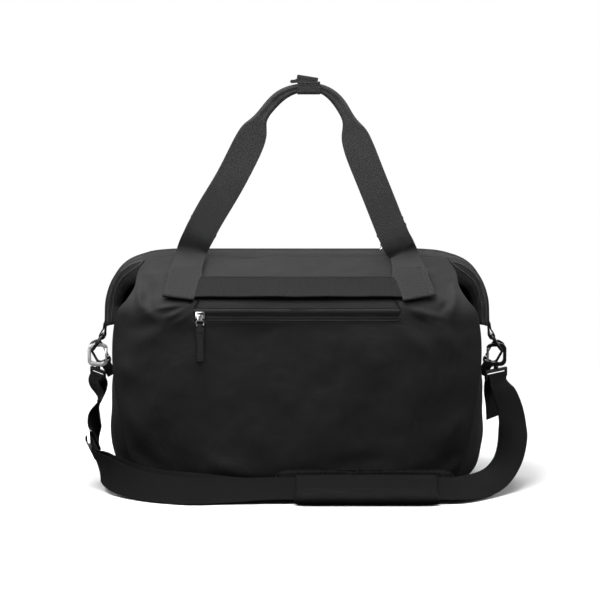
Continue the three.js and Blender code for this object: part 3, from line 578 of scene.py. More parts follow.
def face_panel(side, name, node, seed):
    """The front (side -1) or back (1), which turns the corners at its side edges and runs in under them."""
    rows, columns, wrap = 132, 168, 6
    even = [(2 * i) / columns - 1 for i in range(columns + 1)]
    us = [copysign(1 - (1 - abs(t)) ** 1.2, t) for t in even]  # closer together at the side edges
    grid = []
    for i in range(rows + 1):
        depth, z, half, corner, _ = profile_at(i / rows)
        below = profile_at(max(i / rows - 0.01, 0))
        above = profile_at(min(i / rows + 0.01, 1))
        out = Vector((0, side * (above[1] - below[1]), below[0] - above[0])).normalized()
        row = []
        for u in us:
            x = u * half
            calm = 1 - 0.7 * ease((abs(u) - 0.93) / 0.07)
            puff = rumple(x, z, seed) * calm
            if side < 0:
                near = ease(1 - abs(z - POCKET_Z) / 0.022) * (1 - ease((abs(x) - POCKET_HALF) / 0.03))
                puff = puff * (1 - 0.85 * near)
            row.append(Vector((x, side * (depth - corner * abs(u) ** 5), z)) + out * puff)
        turned = []
        deep = 0.010 + 0.010 * ease((z - 0.225) / 0.03)
        for k in range(1, wrap + 1):
            a = k / wrap * pi / 2
            inset = 0.0032 * (1 - cos(a)) + 0.004 * (k / wrap) ** 2 * ease((z - 0.2) / 0.05)
            turned.append((inset, deep * sin(a) * 0.9))
        left = [row[0] + Vector((dx, -side * dy, 0)) for dx, dy in reversed(turned)]
        right = [row[-1] + Vector((-dx, -side * dy, 0)) for dx, dy in turned]
        grid.append(left + row + right)
    if side < 0:
        snap_rows(grid)
    grid.append([p + Vector((0, -side * 0.0026, 0.0017)) for p in grid[-1]])

    def in_slot(i, j):
        if side > 0:
            return False
        mid = (grid[i][j] + grid[i + 1][j + 1]) / 2
        return abs(mid.z - POCKET_Z) < POCKET_GAP and abs(mid.x) < POCKET_HALF

    mount(thicken(sheet(name, grid, SHELL, in_slot), CLOTH_THICK), "bag", "shell_cloth", node)
    return grid


def snap_rows(grid):
    """Moves the rows and columns next to the pocket's slot onto its edges."""
    for edge in (POCKET_Z - POCKET_GAP, POCKET_Z + POCKET_GAP):
        i = min(range(len(grid)), key=lambda k: abs(grid[k][len(grid[0]) // 2].z - edge))
        for j, p in enumerate(grid[i]):
            if abs(p.x) < POCKET_HALF + 0.02:
                share = 1 - ease((abs(p.x) - POCKET_HALF) / 0.02)
                p.z += (edge - p.z) * share
    for edge in (-POCKET_HALF, POCKET_HALF):
        middle = min(grid, key=lambda r: abs(r[len(r) // 2].z - POCKET_Z))
        j = min(range(len(middle)), key=lambda k: abs(middle[k].x - edge))
        for row in grid:
            if abs(row[j].z - POCKET_Z) < 0.03:
                share = 1 - ease((abs(row[j].z - POCKET_Z) - POCKET_GAP) / 0.02)
                row[j].x += (edge - row[j].x) * share


front_grid = face_panel(-1, "front_shell", "front_panel", 1.3)
face_panel(1, "back_shell", "back_panel", 8.1)


def side_panel(side, name, node):
    """A gusset, tucked in under the folded end above it."""
    rows, columns = 110, 60
    grid = []
    for i in range(rows + 1):
        depth, z, half, corner, tuck = profile_at(i / rows)
        reach = depth - corner - 0.003 - 0.008 * ease((z - 0.235) / 0.06)
        row = []
        for j in range(columns + 1):
            t = 2 * j / columns - 1
            x = half - 0.0022 + tuck * (1 - abs(t) ** 2.2) - 0.003 * ease((z - 0.21) / 0.03)
            waves = 0.003 * ripple(0.2, t * 0.11, z, 13, 3 + side)
            waves += 0.0014 * ripple(0.4, t * 0.11, z, 34, 6 + side)
            x += (1 - t**6) * waves
            pleat = bell(t, 0.07) * ease((z - 0.12) / 0.07) * 0.006
            row.append(Vector((side * (x - pleat), t * reach, min(z, 0.290))))
        grid.append(row)
    mount(thicken(sheet(name, grid, SHADED_SIDE_CLOTH), CLOTH_THICK), "bag", "shell_cloth", node)


side_panel(1, "right_side_shell", "right_gusset")
side_panel(-1, "left_side_shell", "left_gusset")


def side_piping(name, sx, sy):
    """The bound seam down each corner."""
    path = []
    for i in range(70):
        depth, z, half, corner, _ = profile_at(0.03 + 0.80 * i / 69)
        path.append(Vector((sx * (half - 0.0028), sy * (depth - corner - 0.0055), z)))
    mount(tube(name, path, 0.0017, SHADED_SIDE_CLOTH, 10), "bag", "shell_cloth")


for sx, end in ((-1, "left"), (1, "right")):
    for sy, face in ((-1, "front"), (1, "back")):
        side_piping(f"{end}_{face}_seam", sx, sy)

# The base takes the darker cloth: painted shade under the bag.
carried("base_panel", "base_cloth", SHADED_SIDE_CLOTH, "bag", "shell_cloth", 0.0008)

# ---- The zipped top and its folded ends ----
FULL_RIDGE = [Vector((-x, 0, z)) for x, z in reversed(RIDGE[1:])] + [Vector((x, 0, z)) for x, z in RIDGE]
PANEL_OUT = 0.033  # from the zip to the top panel's seam
FOLD_X = 0.204  # where the folded ends start
EAR_SEAM = 0.0008
# Sewing along a top panel: the point of its section, and the first and last step along the ridge.
TOP_SEWING = ((4, 3, 227), (13, 3, 227), (16, 3, 40), (18, 3, 34), (16, 190, 227), (18, 196, 227))


def ridge_frame(t):
    p = smooth_at(FULL_RIDGE, t)
    along = direction_at(FULL_RIDGE, t)
    return p, Vector((along.z, 0, -along.x)), along


def fold_share(x):
    return clamp((abs(x) - FOLD_X) / (RIDGE[-1][0] - FOLD_X))


def ridge_point(t, y, depth):
    p, inward, _ = ridge_frame(t)
    q = p + inward * depth
    q.y = y
    return q


def panel_section(t, side):
    """Points across one side of the top, from the zip to the seam and down the skirt of a folded end."""
    p, _, _ = ridge_frame(t)
    share = fold_share(p.x)
    wide = PANEL_OUT - 0.019 * share**2
    skirt = 0.026 * sin(pi / 2 * min(2.2 * share, 1)) ** 0.8 * (1 - 0.3 * share)
    out = [(0.0050, 0.0022), (0.0051, 0.0006), (0.0058, -0.0003), (0.0072, -0.0002), (0.0088, 0.0004)]
    for f in (0.36, 0.46, 0.56, 0.66, 0.76, 0.86, 0.92):
        drop = 0.0016 * (f / 0.6) ** 1.4 if f < 0.6 else 0.0016 + 0.0034 * ((f - 0.6) / 0.4) ** 1.1
        out.append((wide * f, drop))
    out += [(wide * 0.955, 0.0050), (wide * 0.985, 0.0046), (wide + 0.0006, 0.0054)]
    for f in (0.12, 0.26, 0.4, 0.55, 0.7, 0.85, 1.0):
        belly = sin(pi * f) * 0.004 * share
        out.append((wide + 0.0014 + skirt * 0.25 * f + belly, 0.0062 + skirt * f))
    lumps = []
    for y, depth in out:
        amount = (0.0005 + 0.0012 * share) * clamp((y - 0.009) / 0.012)
        puff = amount * ripple(p.x, y * 2.2, p.z, 38, 2.5 * side + 4)
        puff += 0.6 * amount * ripple(p.x, y * 4, p.z, 90, side)
        lumps.append((side * (y + puff * share), depth - puff))
    return lumps


def top_panel(side, name, node):
    steps = 230
    grid = []
    for i in range(steps + 1):
        row = [ridge_point(i / steps, y, d) for y, d in panel_section(i / steps, side)]
        tip = ease((fold_share(row[0].x) - 0.80) / 0.2)
        for j, p in enumerate(row):
            p.z -= 0.0075 * tip * sin(pi * j / (len(row) - 1)) ** 1.5
            p.x += copysign(0.0022 * sin(pi * min(fold_share(p.x) * 1.4, 1)), p.x)
        grid.append(row)
    mount(thicken(sheet(name, grid, SHELL), TOP_THICK), "bag", "shell_cloth", node)
    runs = []
    for column, start, end in TOP_SEWING:
        path = [grid[i][column].copy() for i in range(start, end)]
        ups = [Vector((0, side * 0.25, 0)) - ridge_frame(i / steps)[1] for i in range(start, end)]
        runs.append((path, [up.normalized() for up in ups]))
    stitches(name + "_stitches", "bag", runs, THREAD)
    for end, span in (("left", range(1, 54)), ("right", range(steps - 53, steps))):
        # The ear seams take the lighter cloth, a painted highlight along them.
        for column in (7, 11, 14, 16):
            path = [grid[i][column].copy() for i in span]
            seam = tube(f"{name}_{end}_seam_{column}", path, EAR_SEAM, SEAM_HIGHLIGHT, 8)
            mount(seam, "bag", "shell_cloth")


PLEAT_LOW, PLEAT_FULL = 0.200, 0.228  # the heights between which a side pleat widens


def side_pleat(end, sign):
    """The middle of a side panel, pinched flat between the body and the folded end above it."""
    rows = []
    for i in range(41):
        t = 0.005 + 0.235 * i / 40
        t = t if sign < 0 else 1 - t
        p, inward, _ = ridge_frame(t)
        full = ease((fold_share(p.x) + 0.25) / 0.4)
        if p.z <= PLEAT_FULL:
            full = max((p.z - PLEAT_LOW) / (PLEAT_FULL - PLEAT_LOW), 0.1)
        row = []
        for k in range(13):
            wave = Vector((0, 0.0012 * sin(k + i * 0.3), 0))
            row.append(p + inward * (0.0036 + 0.050 * full * k / 12) + wave)
        rows.append(row)
    mount(thicken(sheet(f"{end}_side_pleat", rows, SHADED_SIDE_CLOTH), TOP_THICK, 0), "bag", "shell_cloth")


side_pleat("left", -1)
side_pleat("right", 1)
top_panel(-1, "top_front", "top_panel_front")
top_panel(1, "top_back", "top_panel_back")


def ridge_tape(face, y0, y1, d0=0.0009, d1=0.0018, steps=200):
    """A main zip tape between two distances from the middle plane and two depths under the ridge."""
    corners = [(y0, d0), ((y0 + y1) / 2, d0 - 0.0002), (y1, d0), (y1, d1), (y0, d1)]
    rings = [[ridge_point(i / steps, y, d) for y, d in corners] for i in range(steps + 1)]
    mount(loft(f"main_tape_{face}", rings, WEBBING), "bag", "webbing", f"main_zip_tape_{face}")


ridge_tape("front", -0.0054, -0.0018)
ridge_tape("back", 0.0018, 0.0054)


def zip_coil(name, node, centre, across, out, count):
    """Interlocked teeth: short rounded bars that alternate from side to side of the zip's middle line.
    centre, across and out are functions of the share of the way along it."""
    points, faces = [], []
    for k in range(count):
        t = (k + 0.5) / count
        side = 1 if k % 2 else -1
        p, a, o = centre(t), across(t), out(t)
        along = (centre(min(t + 1e-3, 1)) - centre(max(t - 1e-3, 0))).normalized()
        half = 0.00042
        ring = [(0.0015, 0.0), (0.0012, 0.0008), (0.0, 0.0011), (-0.0005, 0.0007), (-0.0006, 0.0)]
        start = len(points)
        for s in (-half, half):
            points += [p + a * (side * u) + o * v + along * s for u, v in ring]
        n = len(ring)
        faces += [tuple(range(start, start + n)), tuple(range(start + n, start + 2 * n))]
        for m in range(n):
            after = (m + 1) % n
            faces.append((start + m, start + after, start + n + after, start + n + m))
    mount(piece(name, points, faces, COIL, flat=True), "bag", "zip_coil", node)


zip_coil(
    "main_coil",
    "main_zip_coil",
    lambda t: ridge_point(0.01 + 0.98 * t, 0, 0.0010),
    lambda t: Vector((0, 1, 0)),
    lambda t: -ridge_frame(0.01 + 0.98 * t)[1],
    560,
)

# ---- The pocket ----
ZIP_Y = -0.1086  # face of the zip tapes


def pocket_zip():
    section = [(0.0008, 0.0), (0.0018, 0.0005), (0.0050, 0.0007)]
    section += [(0.0080, -0.0002), (0.0080, -0.0012), (0.0008, -0.0010)]
    for sign, name in ((1, "upper"), (-1, "lower")):
        rings = []
        for i in range(81):
            x = (POCKET_HALF + 0.001) * (2 * i / 80 - 1)
            sag = 0.0002 * ripple(x, 0, sign, 50, 2)
            rings.append([Vector((x, ZIP_Y - out - sag, POCKET_Z + sign * up)) for up, out in section])
        mount(loft(f"pocket_tape_{name}", rings, TAPE), "bag", "webbing", f"pocket_zip_tape_{name}")
    zip_coil(
        "pocket_coil",
        "pocket_zip_coil",
        lambda t: Vector(((2 * t - 1) * 0.131, ZIP_Y + 0.0002, POCKET_Z)),
        lambda t: Vector((0, 0, 1)),
        lambda t: Vector((0, -1, 0)),
        262,
    )


def front_surface(x, z):
    """The front shell's place at (x, z), read from its grid."""
    row = min(front_grid, key=lambda r: abs(r[len(r) // 2].z - z))
    return min(row, key=lambda p: abs(p.x - x)).copy()


def pocket_welts():
    """Folded lips round the slot, with a row of stitches outside them."""
    a, b, r = POCKET_HALF, POCKET_GAP, 0.0035
    loop = []
    corners = [(a - r, b - r, 0), (-a + r, b - r, 90), (-a + r, -b + r, 180), (a - r, -b + r, 270)]
    for cx, cz, start in corners:
        turns = [radians(start + 15 * k) for k in range(7)]
        loop += [(cx + r * cos(turn), cz + r * sin(turn)) for turn in turns]
    dense = []
    for (x0, z0), (x1, z1) in zip(loop, loop[1:] + loop[:1]):
        n = max(1, int(hypot(x1 - x0, z1 - z0) / 0.004))
        dense += [(x0 + (x1 - x0) * k / n, z0 + (z1 - z0) * k / n) for k in range(n)]

    def on_front(x, z, out):
        y = front_surface(x * 1.02, POCKET_Z + (0.009 if z > 0 else -0.009)).y
        return Vector((x, y - out, POCKET_Z + z))

    lips = [on_front(x, z, -0.0002) for x, z in dense]
    welt = tube("pocket_welts", lips, 0.0009, SHELL, 10, loop=True, reference=Vector((0, 1, 0)))
    mount(welt, "bag", "shell_cloth")
    grow = 0.0028
    outer = [on_front(x * (1 + grow / a), z * (1 + grow / b), 0.0001) for x, z in dense]
    outer.append(outer[0].copy())
    stitches("pocket_stitches", "bag", [(outer, [Vector((0, -1, 0))] * len(outer))], THREAD)


pocket_zip()
pocket_welts()


def cloth_pull(name, node, length, place):
    """A zip pull of folded webbing, on the body of its node's name: a loop at the top, a sewn bar and
    stitched edges. place turns (across, out, down) in its own frame into a point."""
    rows = []
    for i in range(61):
        t = i / 60
        down = -0.0012 + t * (length + 0.0012)
        if down < 0.0025:
            wide, thick = 0.0038, 0.0029
        else:
            f = down / length
            wide = 0.0052 - 0.0011 * ease((f - 0.15) / 0.35)
            wide = 0.0038 + (wide - 0.0038) * ease((down - 0.0025) / 0.002)
            thick = 0.0026 - 0.0005 * ease((f - 0.1) / 0.2)
        bar = bell(down - 0.0115, 0.0009)
        thick *= 1 - 0.35 * bar
        rows.append((down, wide, thick))
    rings, lay = [], []
    for down, wide, thick in rows:
        section = web_section(2 * wide, thick, 0.0009)
        rings.append([place(a, b, down) for a, b in section])
        lay += [(down, a, b) for a, b in section]
    obj = loft(name, rings, WEBBING)
    lay_attribute(obj, lay)
    mount(obj, node, "webbing", node)
    out = (place(0, 1, 0) - place(0, 0, 0)).normalized()
    runs = []
    for s in (-1, 1):
        path = [place(s * (w - 0.0010), th / 2, d) for d, w, th in rows if 0.013 < d < length - 0.001]
        runs.append((path, [out] * len(path)))
    for d in (0.0095, 0.0135, length - 0.0015):
        path = [place(x, 0.00125, d) for x in (-0.0034, 0, 0.0034)]
        runs.append((path, [out] * 3))
    stitches(name + "_stitches", node, runs, THREAD, 0.0022, 0.0015, 0.0005)


def zip_puller(which, length, place):
    """A slider and its link, each on the body of its own name, and its cloth pull."""
    carried(f"{which}_slider", f"{which}_zip_slider", PALE_METAL, f"{which}_slider", "pale_metal", 0.0003)
    carried(f"{which}_link", f"{which}_zip_link", PALE_METAL, f"{which}_link", "pale_metal", 0.00025)
    if which == "pocket":
        slider_opening_shade()
    cloth_pull(f"{which}_zip_pull", f"{which}_pull", length, place)


def slider_opening_shade():
    """A dark plate of painted shade, set where the opening in the pocket slider's face is."""
    low, high = (Vector(corner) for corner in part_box("pocket_slider"))
    x, z = (low.x + high.x) / 2, high.z - 0.0021
    rings = []
    for out, size in ((0.0, 1.0), (0.00022, 1.0), (0.0003, 0.9)):
        outline = web_section(0.0076, 0.0022, 0.0008)
        rings.append([Vector((x + a * size, low.y - out, z + b * size)) for a, b in outline])
    mount(loft("pocket_slider_window", rings, BLACK_METAL), "pocket_slider", "black_metal")


PULL_X, PULL_Y, PULL_Z = -0.124, -0.11215, 0.2213  # top of the pocket pull
LEAN = -0.07  # it hangs back against the bag
MAIN_PULL_Y, MAIN_PULL_Z = 0.0122, 0.31025  # where the main pulls lie on the top


def pocket_pull_place(a, b, d):
    y = PULL_Y - b * cos(LEAN) + d * sin(LEAN)
    return Vector((PULL_X + a, y, PULL_Z - d * cos(LEAN) - b * sin(LEAN)))


zip_puller("pocket", 0.047, pocket_pull_place)
for end, x in (("left", 0.116), ("right", 0.134)):
    zip_puller(f"main_{end}", 0.022, lambda a, b, d, x=x: Vector((x - a, MAIN_PULL_Y + d, MAIN_PULL_Z + b)))


# ---- Handles, with their sewn ends and the bands between them ----
SLOPE_LOW, SLOPE_HIGH = Vector((0.1025, 0.2525)), Vector((0.057, 0.289))
SLOPE_RUN = SLOPE_HIGH - SLOPE_LOW
SLOPE_OUT = Vector((SLOPE_RUN.y, -SLOPE_RUN.x)).normalized()
HANDLE_FOOT, HANDLE_TOP = 0.291, 0.519
FOOT_OUT, LEAN_IN = 0.0535, 0.0483  # a leg's foot from the middle plane, and how far it leans in
PATCH_UP, PATCH_FACE, BAND_FACE = 0.0034, 0.0047, 0.0044  # heights above the slope
GRIP_Y = 0.0052
# Middle line of a handle: x, share of the way up, width, thickness.
HANDLE = [
    (-0.1410, 0.025, WEB, WEB_THICK),
    (-0.1230, 0.210, WEB, WEB_THICK),
    (-0.0880, 0.470, WEB, WEB_THICK),
    (-0.0630, 0.685, WEB, WEB_THICK),
    (-0.0560, 0.750, 0.0360, 0.0032),
    (-0.0510, 0.795, 0.0240, 0.0060),
    (-0.0465, 0.835, 0.0155, 0.0084),
    (-0.0330, 0.910, 0.0160, 0.0084),
    (-0.0200, 0.962, 0.0150, 0.0084),
    (0.0000, 0.998, 0.0115, 0.0084),
    (0.0160, 1.000, 0.0115, 0.0084),
    (0.0320, 0.998, 0.0115, 0.0084),
    (0.0500, 0.945, 0.0150, 0.0084),
    (0.0610, 0.880, 0.0160, 0.0084),
    (0.0675, 0.825, 0.0155, 0.0084),
    (0.0715, 0.780, 0.0240, 0.0060),
    (0.0755, 0.730, 0.0360, 0.0032),
    (0.0810, 0.660, WEB, WEB_THICK),
    (0.0950, 0.505, WEB, WEB_THICK),
    (0.1080, 0.365, WEB, WEB_THICK),
    (0.1260, 0.170, WEB, WEB_THICK),
    (0.1425, 0.025, WEB, WEB_THICK),
]
PATCH_X = {"left": (-0.173, -0.132, 0.010), "right": (0.136, 0.179, -0.014)}


def slope_at(side, x, share, out):
    """A point at a share of the way up the sewn slope of the top, and out from it."""
    y, z = SLOPE_LOW + SLOPE_RUN * share + SLOPE_OUT * out
    return Vector((x, side * y, z))


def even_handle(count=110, passes=4):
    """HANDLE in even steps, with its flares smoothed."""
    tall = HANDLE_TOP - HANDLE_FOOT
    rough = [Vector((x, share * tall, width, thick)) for x, share, width, thick in HANDLE]
    fine = [smooth_at(rough, k / 900) for k in range(901)]
    run = [0]
    for a, b in zip(fine, fine[1:]):
        run.append(run[-1] + (b - a).length)
    rows, k = [], 0
    for i in range(count + 1):
        goal = run[-1] * i / count
        while k < 899 and run[k + 1] < goal:
            k += 1
        rows.append(fine[k].lerp(fine[k + 1], (goal - run[k]) / max(run[k + 1] - run[k], 1e-9)))
    for _ in range(passes):
        rows = [rows[0]] + [(a + b * 2 + c) / 4 for a, b, c in zip(rows, rows[1:], rows[2:])] + [rows[-1]]
    return [(r[0], r[1] / tall, r[2], r[3]) for r in rows]


def easy_foot(rows, foot=4, reach=8):
    """Rows with one easy bend between a sewn end, up to row foot, and the leg above it."""
    control = [Vector(rows[k]) for k in (foot - 2, foot - 1, foot, foot + reach, foot + 2 * reach)]
    for k in range(1, reach):
        rows[foot + k] = tuple(smooth_at(control, (2 + k / reach) / 4))
    return rows


def handle(side, face):
    line = even_handle()

    def place(row):
        share = row[1]
        out = FOOT_OUT - LEAN_IN * min(1, 1.08 * share) ** 1.05
        return Vector((row[0], side * out, HANDLE_FOOT + share * (HANDLE_TOP - HANDLE_FOOT)))

    def sewn(end):
        x0, x1, skew = PATCH_X[end]
        rows = []
        for share in (0.0, 0.3, 0.6, 0.85):
            p = slope_at(side, (x0 + x1) / 2 + skew * share, share, PATCH_UP)
            rows.append((*p, 1, 0, 0, x1 - x0, WEB_THICK))
        return rows

    rows = []
    last = len(line) - 1
    for i, row in enumerate(line):
        p = place(row)
        along = place(line[min(i + 1, last)]) - place(line[max(i - 1, 0)])
        level = Vector((1 if i < last / 2 else -1, 0, 0))
        across = level.lerp(Vector((along.z, 0, -along.x)).normalized(), ease(min(i, last - i) / 8))
        rows.append((*p, *across.normalized(), row[2], row[3]))
    right = [(*r[:3], *(-Vector(r[3:6])), *r[6:]) for r in reversed(sewn("right"))]
    rows = easy_foot(sewn("left") + rows + right)
    rows = easy_foot(rows[::-1])[::-1]

    def radius(thick):
        return 0.0007 + 0.0032 * ease((thick - WEB_THICK) / 0.005)

    def shape(q, a, n):
        x, height = q.x, (q.z - HANDLE_FOOT) / (HANDLE_TOP - HANDLE_FOOT)
        flat = 1 - ease((height - 0.68) / 0.12)
        free = ease((height - 0.02) / 0.1)
        edge = (a / 0.02) ** 2
        wave = 0.0016 * ripple(x * 0.6, side, q.z, 16, 4) + 0.0010 * edge * ripple(x, side, q.z, 30, 9)
        q = q + Vector((0, side, 0)) * (free * flat * wave)
        grip = ease((height - 0.80) / 0.06)
        groove = bell(a, 0.0016) * 0.0011 * grip
        q -= n * groove
        q += n * grip * 0.0003 * ripple(x, q.y, q.z, 120, 5)
        return q

    obj = webbing_strip(f"{face}_handle_webbing", rows, WEB, WEB_THICK, 480, WEBBING, radius, shape)
    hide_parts(f"{face}_handle", f"{face}_patch_left", f"{face}_patch_right")
    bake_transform(obj)


def patch_stitches(side, face):
    """A stitched box, with close level rows of short stitches inside it, on each sewn end."""
    runs = []
    normal = Vector((0, side * SLOPE_OUT.x, SLOPE_OUT.y))
    for x0, x1, skew in PATCH_X.values():

        def on(u, share):
            x = (x0 + x1) / 2 + skew * share + u * (x1 - x0) / 2
            return slope_at(side, x, share, PATCH_FACE)

        box = [(-0.88, 0.05), (0.88, 0.05), (0.88, 0.93), (-0.88, 0.93), (-0.88, 0.05)]
        for (u0, s0), (u1, s1) in zip(box, box[1:]):
            runs.append(([on(u0, s0), on(u1, s1)], [normal] * 2))
        for k in range(14):
            f, shift = 0.10 + 0.78 * k / 13, 0.02 * (k % 2)
            runs.append(([on(-0.84 + shift + 0.0405 * j, f) for j in range(41)], [normal] * 41))
    stitches(f"{face}_patch_stitches", "bag", runs, PATCH_THREAD, 0.0030, 0.0015, 0.0010)


def band(side, face):
    """Webbing between the patches, sewn at its ends and top and a little loose along its lower edge."""
    columns, rows = 150, 16
    x_left, x_right = PATCH_X["left"][1] + 0.0004, PATCH_X["right"][0] - 0.0004
    grid, lay = [], []
    for i in range(rows + 1):
        v = i / rows
        share = 0.02 + 0.64 * v
        row = []
        for j in range(columns + 1):
            u = j / columns
            left, right = x_left + PATCH_X["left"][2] * share, x_right + PATCH_X["right"][2] * share
            x = left + (right - left) * u
            free = sin(pi * u) ** 0.5 if 0 < u < 1 else 0
            sag = free * (0.035 * sin(pi * u) + 0.018 * ripple(x, side, 0, 14, 7))
            lift = free * (1 - v) ** 1.4 * (0.0026 + 0.0022 * ripple(x, side, 0, 16, 3))
            lift += free * 0.0005 * ripple(x, side, v * 0.03, 40, 8)
            row.append(slope_at(side, x, share - sag * (1 - 0.6 * v), BAND_FACE + lift))
            lay.append((x, v * 0.037, 0))
        grid.append(row)
    obj = sheet(f"{face}_band_webbing", grid, BAND)
    lay_attribute(obj, lay)
    mount(thicken(obj, CLOTH_THICK), "bag", "webbing", f"{face}_band")
    normal = Vector((0, side * SLOPE_OUT.x, SLOPE_OUT.y))
    runs = [([p + normal * 0.0002 for p in grid[-2]], [normal] * (columns + 1))]
    for j in (2, columns - 2):
        runs.append(([grid[i][j] + normal * 0.0002 for i in range(rows + 1)], [normal] * (rows + 1)))
    stitches(f"{face}_band_stitches", "bag", runs, THREAD)


for side, face in ((-1, "front"), (1, "back")):
    handle(side, face)
    patch_stitches(side, face)
    band(side, face)

# ---- The keeper round both grips ----
KEEPER_FRONT, KEEPER_BACK = -GRIP_Y - 0.0052, GRIP_Y + 0.0052
KEEPER_UNDER, KEEPER_OVER = HANDLE_TOP - 0.0068, HANDLE_TOP + 0.0063


def keeper_strip(node, body, outline):
    rows = [(KEEPER_X, y, z, 1, 0, 0) for y, z in outline]
    obj = webbing_strip(node + "_webbing", rows, 0.030, 0.0013, 90, WEBBING, 0.0008)
    mount(obj, body, "webbing", node)


keeper_strip(
    "keeper_wrap",
    "front_handle",
    [
        (KEEPER_FRONT - 0.0010, KEEPER_OVER),
        (KEEPER_FRONT - 0.0012, KEEPER_OVER - 0.006),
        (KEEPER_FRONT - 0.0013, KEEPER_UNDER + 0.003),
        (KEEPER_FRONT - 0.0006, KEEPER_UNDER + 0.0002),
        *((y, KEEPER_UNDER - 0.0007) for y in (KEEPER_FRONT + 0.0020, 0, KEEPER_BACK)),
    ],
)
keeper_strip(
    "keeper_flap",
    "keeper_flap",
    [
        (KEEPER_FRONT - 0.0018, KEEPER_OVER + 0.0010),
        *((y, KEEPER_OVER + 0.0011) for y in (KEEPER_FRONT + 0.004, 0, KEEPER_BACK - 0.001)),
        (KEEPER_BACK + 0.0018, KEEPER_OVER + 0.0004),
        *((KEEPER_BACK + 0.0025, z) for z in (KEEPER_OVER - 0.003, HANDLE_TOP, KEEPER_UNDER - 0.0012)),
    ],
)
tab = carried("keeper_tab", "keeper_tab_webbing", WEBBING, "keeper_flap", "webbing", 0.0006, 3)
lay_attribute(tab, [(v.co.x, v.co.z, v.co.y) for v in tab.data.vertices])
TAB_PLY = [(-0.0076, 0.0002), (-0.0092, 0.0022), (-0.0078, 0.0046), (-0.0030, 0.0048), (0.0002, 0.0066)]
TAB_PLY += [(0.0014, 0.0080), (0.0264, 0.0038), (0.0268, 0.0022)]


def tab_ply():
    """The keeper tab's second ply, folded under it, with its end standing out on the left."""
    centre = Vector((0.010, 0.0030))
    rings, lay = [], []
    for y, full in ((-0.0087, 0.93), (-0.0083, 1.0), (-0.0060, 1.0), (-0.0050, 1.0), (-0.0046, 0.93)):
        ring = [centre + (Vector(q) - centre) * full for q in TAB_PLY]
        rings.append([Vector((q.x, y, KEEPER_OVER + max(q.y, 0.0021 if q.x > 0 else 0))) for q in ring])
        lay += [(q.x, q.y, y) for q in ring]
    obj = loft("keeper_tab_ply", rings, WEBBING, flat=True)
    lay_attribute(obj, lay)
    mount(obj, "keeper_flap", "webbing")


tab_ply()
carried("keeper_snap", "keeper_snap_cap", BLACK_METAL, "keeper_flap", "black_metal", 0.0006, 3)
keeper_runs = []
for z in (KEEPER_UNDER + 0.002, KEEPER_OVER - 0.0015):
    path = [Vector((KEEPER_X + x, KEEPER_FRONT - 0.0022, z)) for x in (-0.0135, 0, 0.0135)]
    keeper_runs.append((path, [Vector((0, -1, 0))] * 3))
stitches("keeper_stitches", "front_handle", keeper_runs, THREAD, 0.0024, 0.0017, 0.0006)

# ---- Rings, tabs and hooks at both ends ----
RING_DIR = Vector((sin(RING_TILT), 0, -cos(RING_TILT)))


def d_ring(end, sign):
    centre = CHORD + RING_DIR * RING_DROP
    start = acos(-RING_DROP / RING_R)
    arc = []
    for i in range(49):
        a = start - 2 * start * i / 48
        arc.append(centre + RING_DIR * RING_R * cos(a) + Vector((0, RING_R * sin(a), 0)))
    bar = [arc[-1].lerp(arc[0], k / 12) for k in range(1, 12)]
    path = [Vector((p.x * sign, p.y, p.z)) for p in arc + bar]
    obj = tube(f"{end}_ring", path, RING_WIRE, BLACK_METAL, 16, loop=True, reference=Vector((0, 0, 1)))
    mount(obj, "bag", "black_metal", f"{end}_d_ring")


def ear_tab(end, sign):
    """Webbing folded round the ring's bar, both plies sewn into the tip of the folded end."""
    r = RING_WIRE + 0.0013
    path = [(-0.0056, 0.0178), (-0.0043, 0.0112), (-r - 0.0001, 0.0052)]
    path += [(r * cos(a), r * sin(a)) for a in (radians(180 + 30 * k) for k in range(7))]
    path += [(r - 0.0016, 0.0040), (-0.0012, 0.0088), (-0.0030, 0.0178)]
    rows = [(sign * (CHORD.x + x), 0, CHORD.z + z, 0, 1, 0) for x, z in path]
    obj = webbing_strip(f"{end}_tab", rows, 0.020, 0.0018, 90, WEBBING, 0.0006)
    mount(obj, "bag", "webbing", f"{end}_ear_tab")


for end, sign in (("right", 1), ("left", -1)):
    d_ring(end, sign)
    ear_tab(end, sign)
    for node, name, body, finish, bevel in (
        ("strap_hook", "shoulder_hook", "shoulder_strap", GREY if end == "left" else BLACK, 0.0010),
        ("strap_gate", "shoulder_gate", f"{end}_strap_gate", PALE, 0.0005),
        ("hook_base", "swivel_base", "shoulder_strap", BLACK, 0.0008),
        ("hold_hook", "compression_hook", "bag", BLACK, 0.0008),
        ("hold_gate", "compression_gate", f"{end}_hold_gate", PALE, 0.0004),
    ):
        material, slot = finish
        carried(f"{end}_{node}", f"{end}_{name}", material, body, slot, bevel, 3)
    hold = carried(f"{end}_hold_tab", f"{end}_compression_tab", WEBBING, "bag", "webbing", 0.0004, 2)
    lay_attribute(hold, [(v.co.z, v.co.x, v.co.y) for v in hold.data.vertices])
carried("strap_adjuster", "strap_slider", GREY_METAL, "shoulder_strap", "black_metal", 0.0009, 3)

# ---- The shoulder strap ----
ADJUSTER = Vector((-0.267, -0.055, 0.050))
S_AXIS = Vector((-0.12, 0.80, 0.58)).normalized()
W_AXIS = Vector((-0.27, 0, 0.96))
W_AXIS = (W_AXIS - S_AXIS * W_AXIS.dot(S_AXIS)).normalized()
N_AXIS = S_AXIS.cross(W_AXIS)
PAD = Vector((0.087, -0.154, 0.0165))
PAD_LEAN = radians(35)
PAD_UP = Vector((0, cos(PAD_LEAN), sin(PAD_LEAN)))  # across the pad, and the strap's width there
PAD_OUT = Vector((0, -sin(PAD_LEAN), cos(PAD_LEAN)))  # from the pad's back to its face
STEM = 0.003
SLOT_Z = HOOK_Z - STEM - 0.0004 - 0.0044 - 0.0027
BAR_Z = SLOT_Z - 0.0045


def by_adjuster(s, n):
    p = ADJUSTER + S_AXIS * (s / 1000) + N_AXIS * (n / 1000)
    return (*p, *W_AXIS)


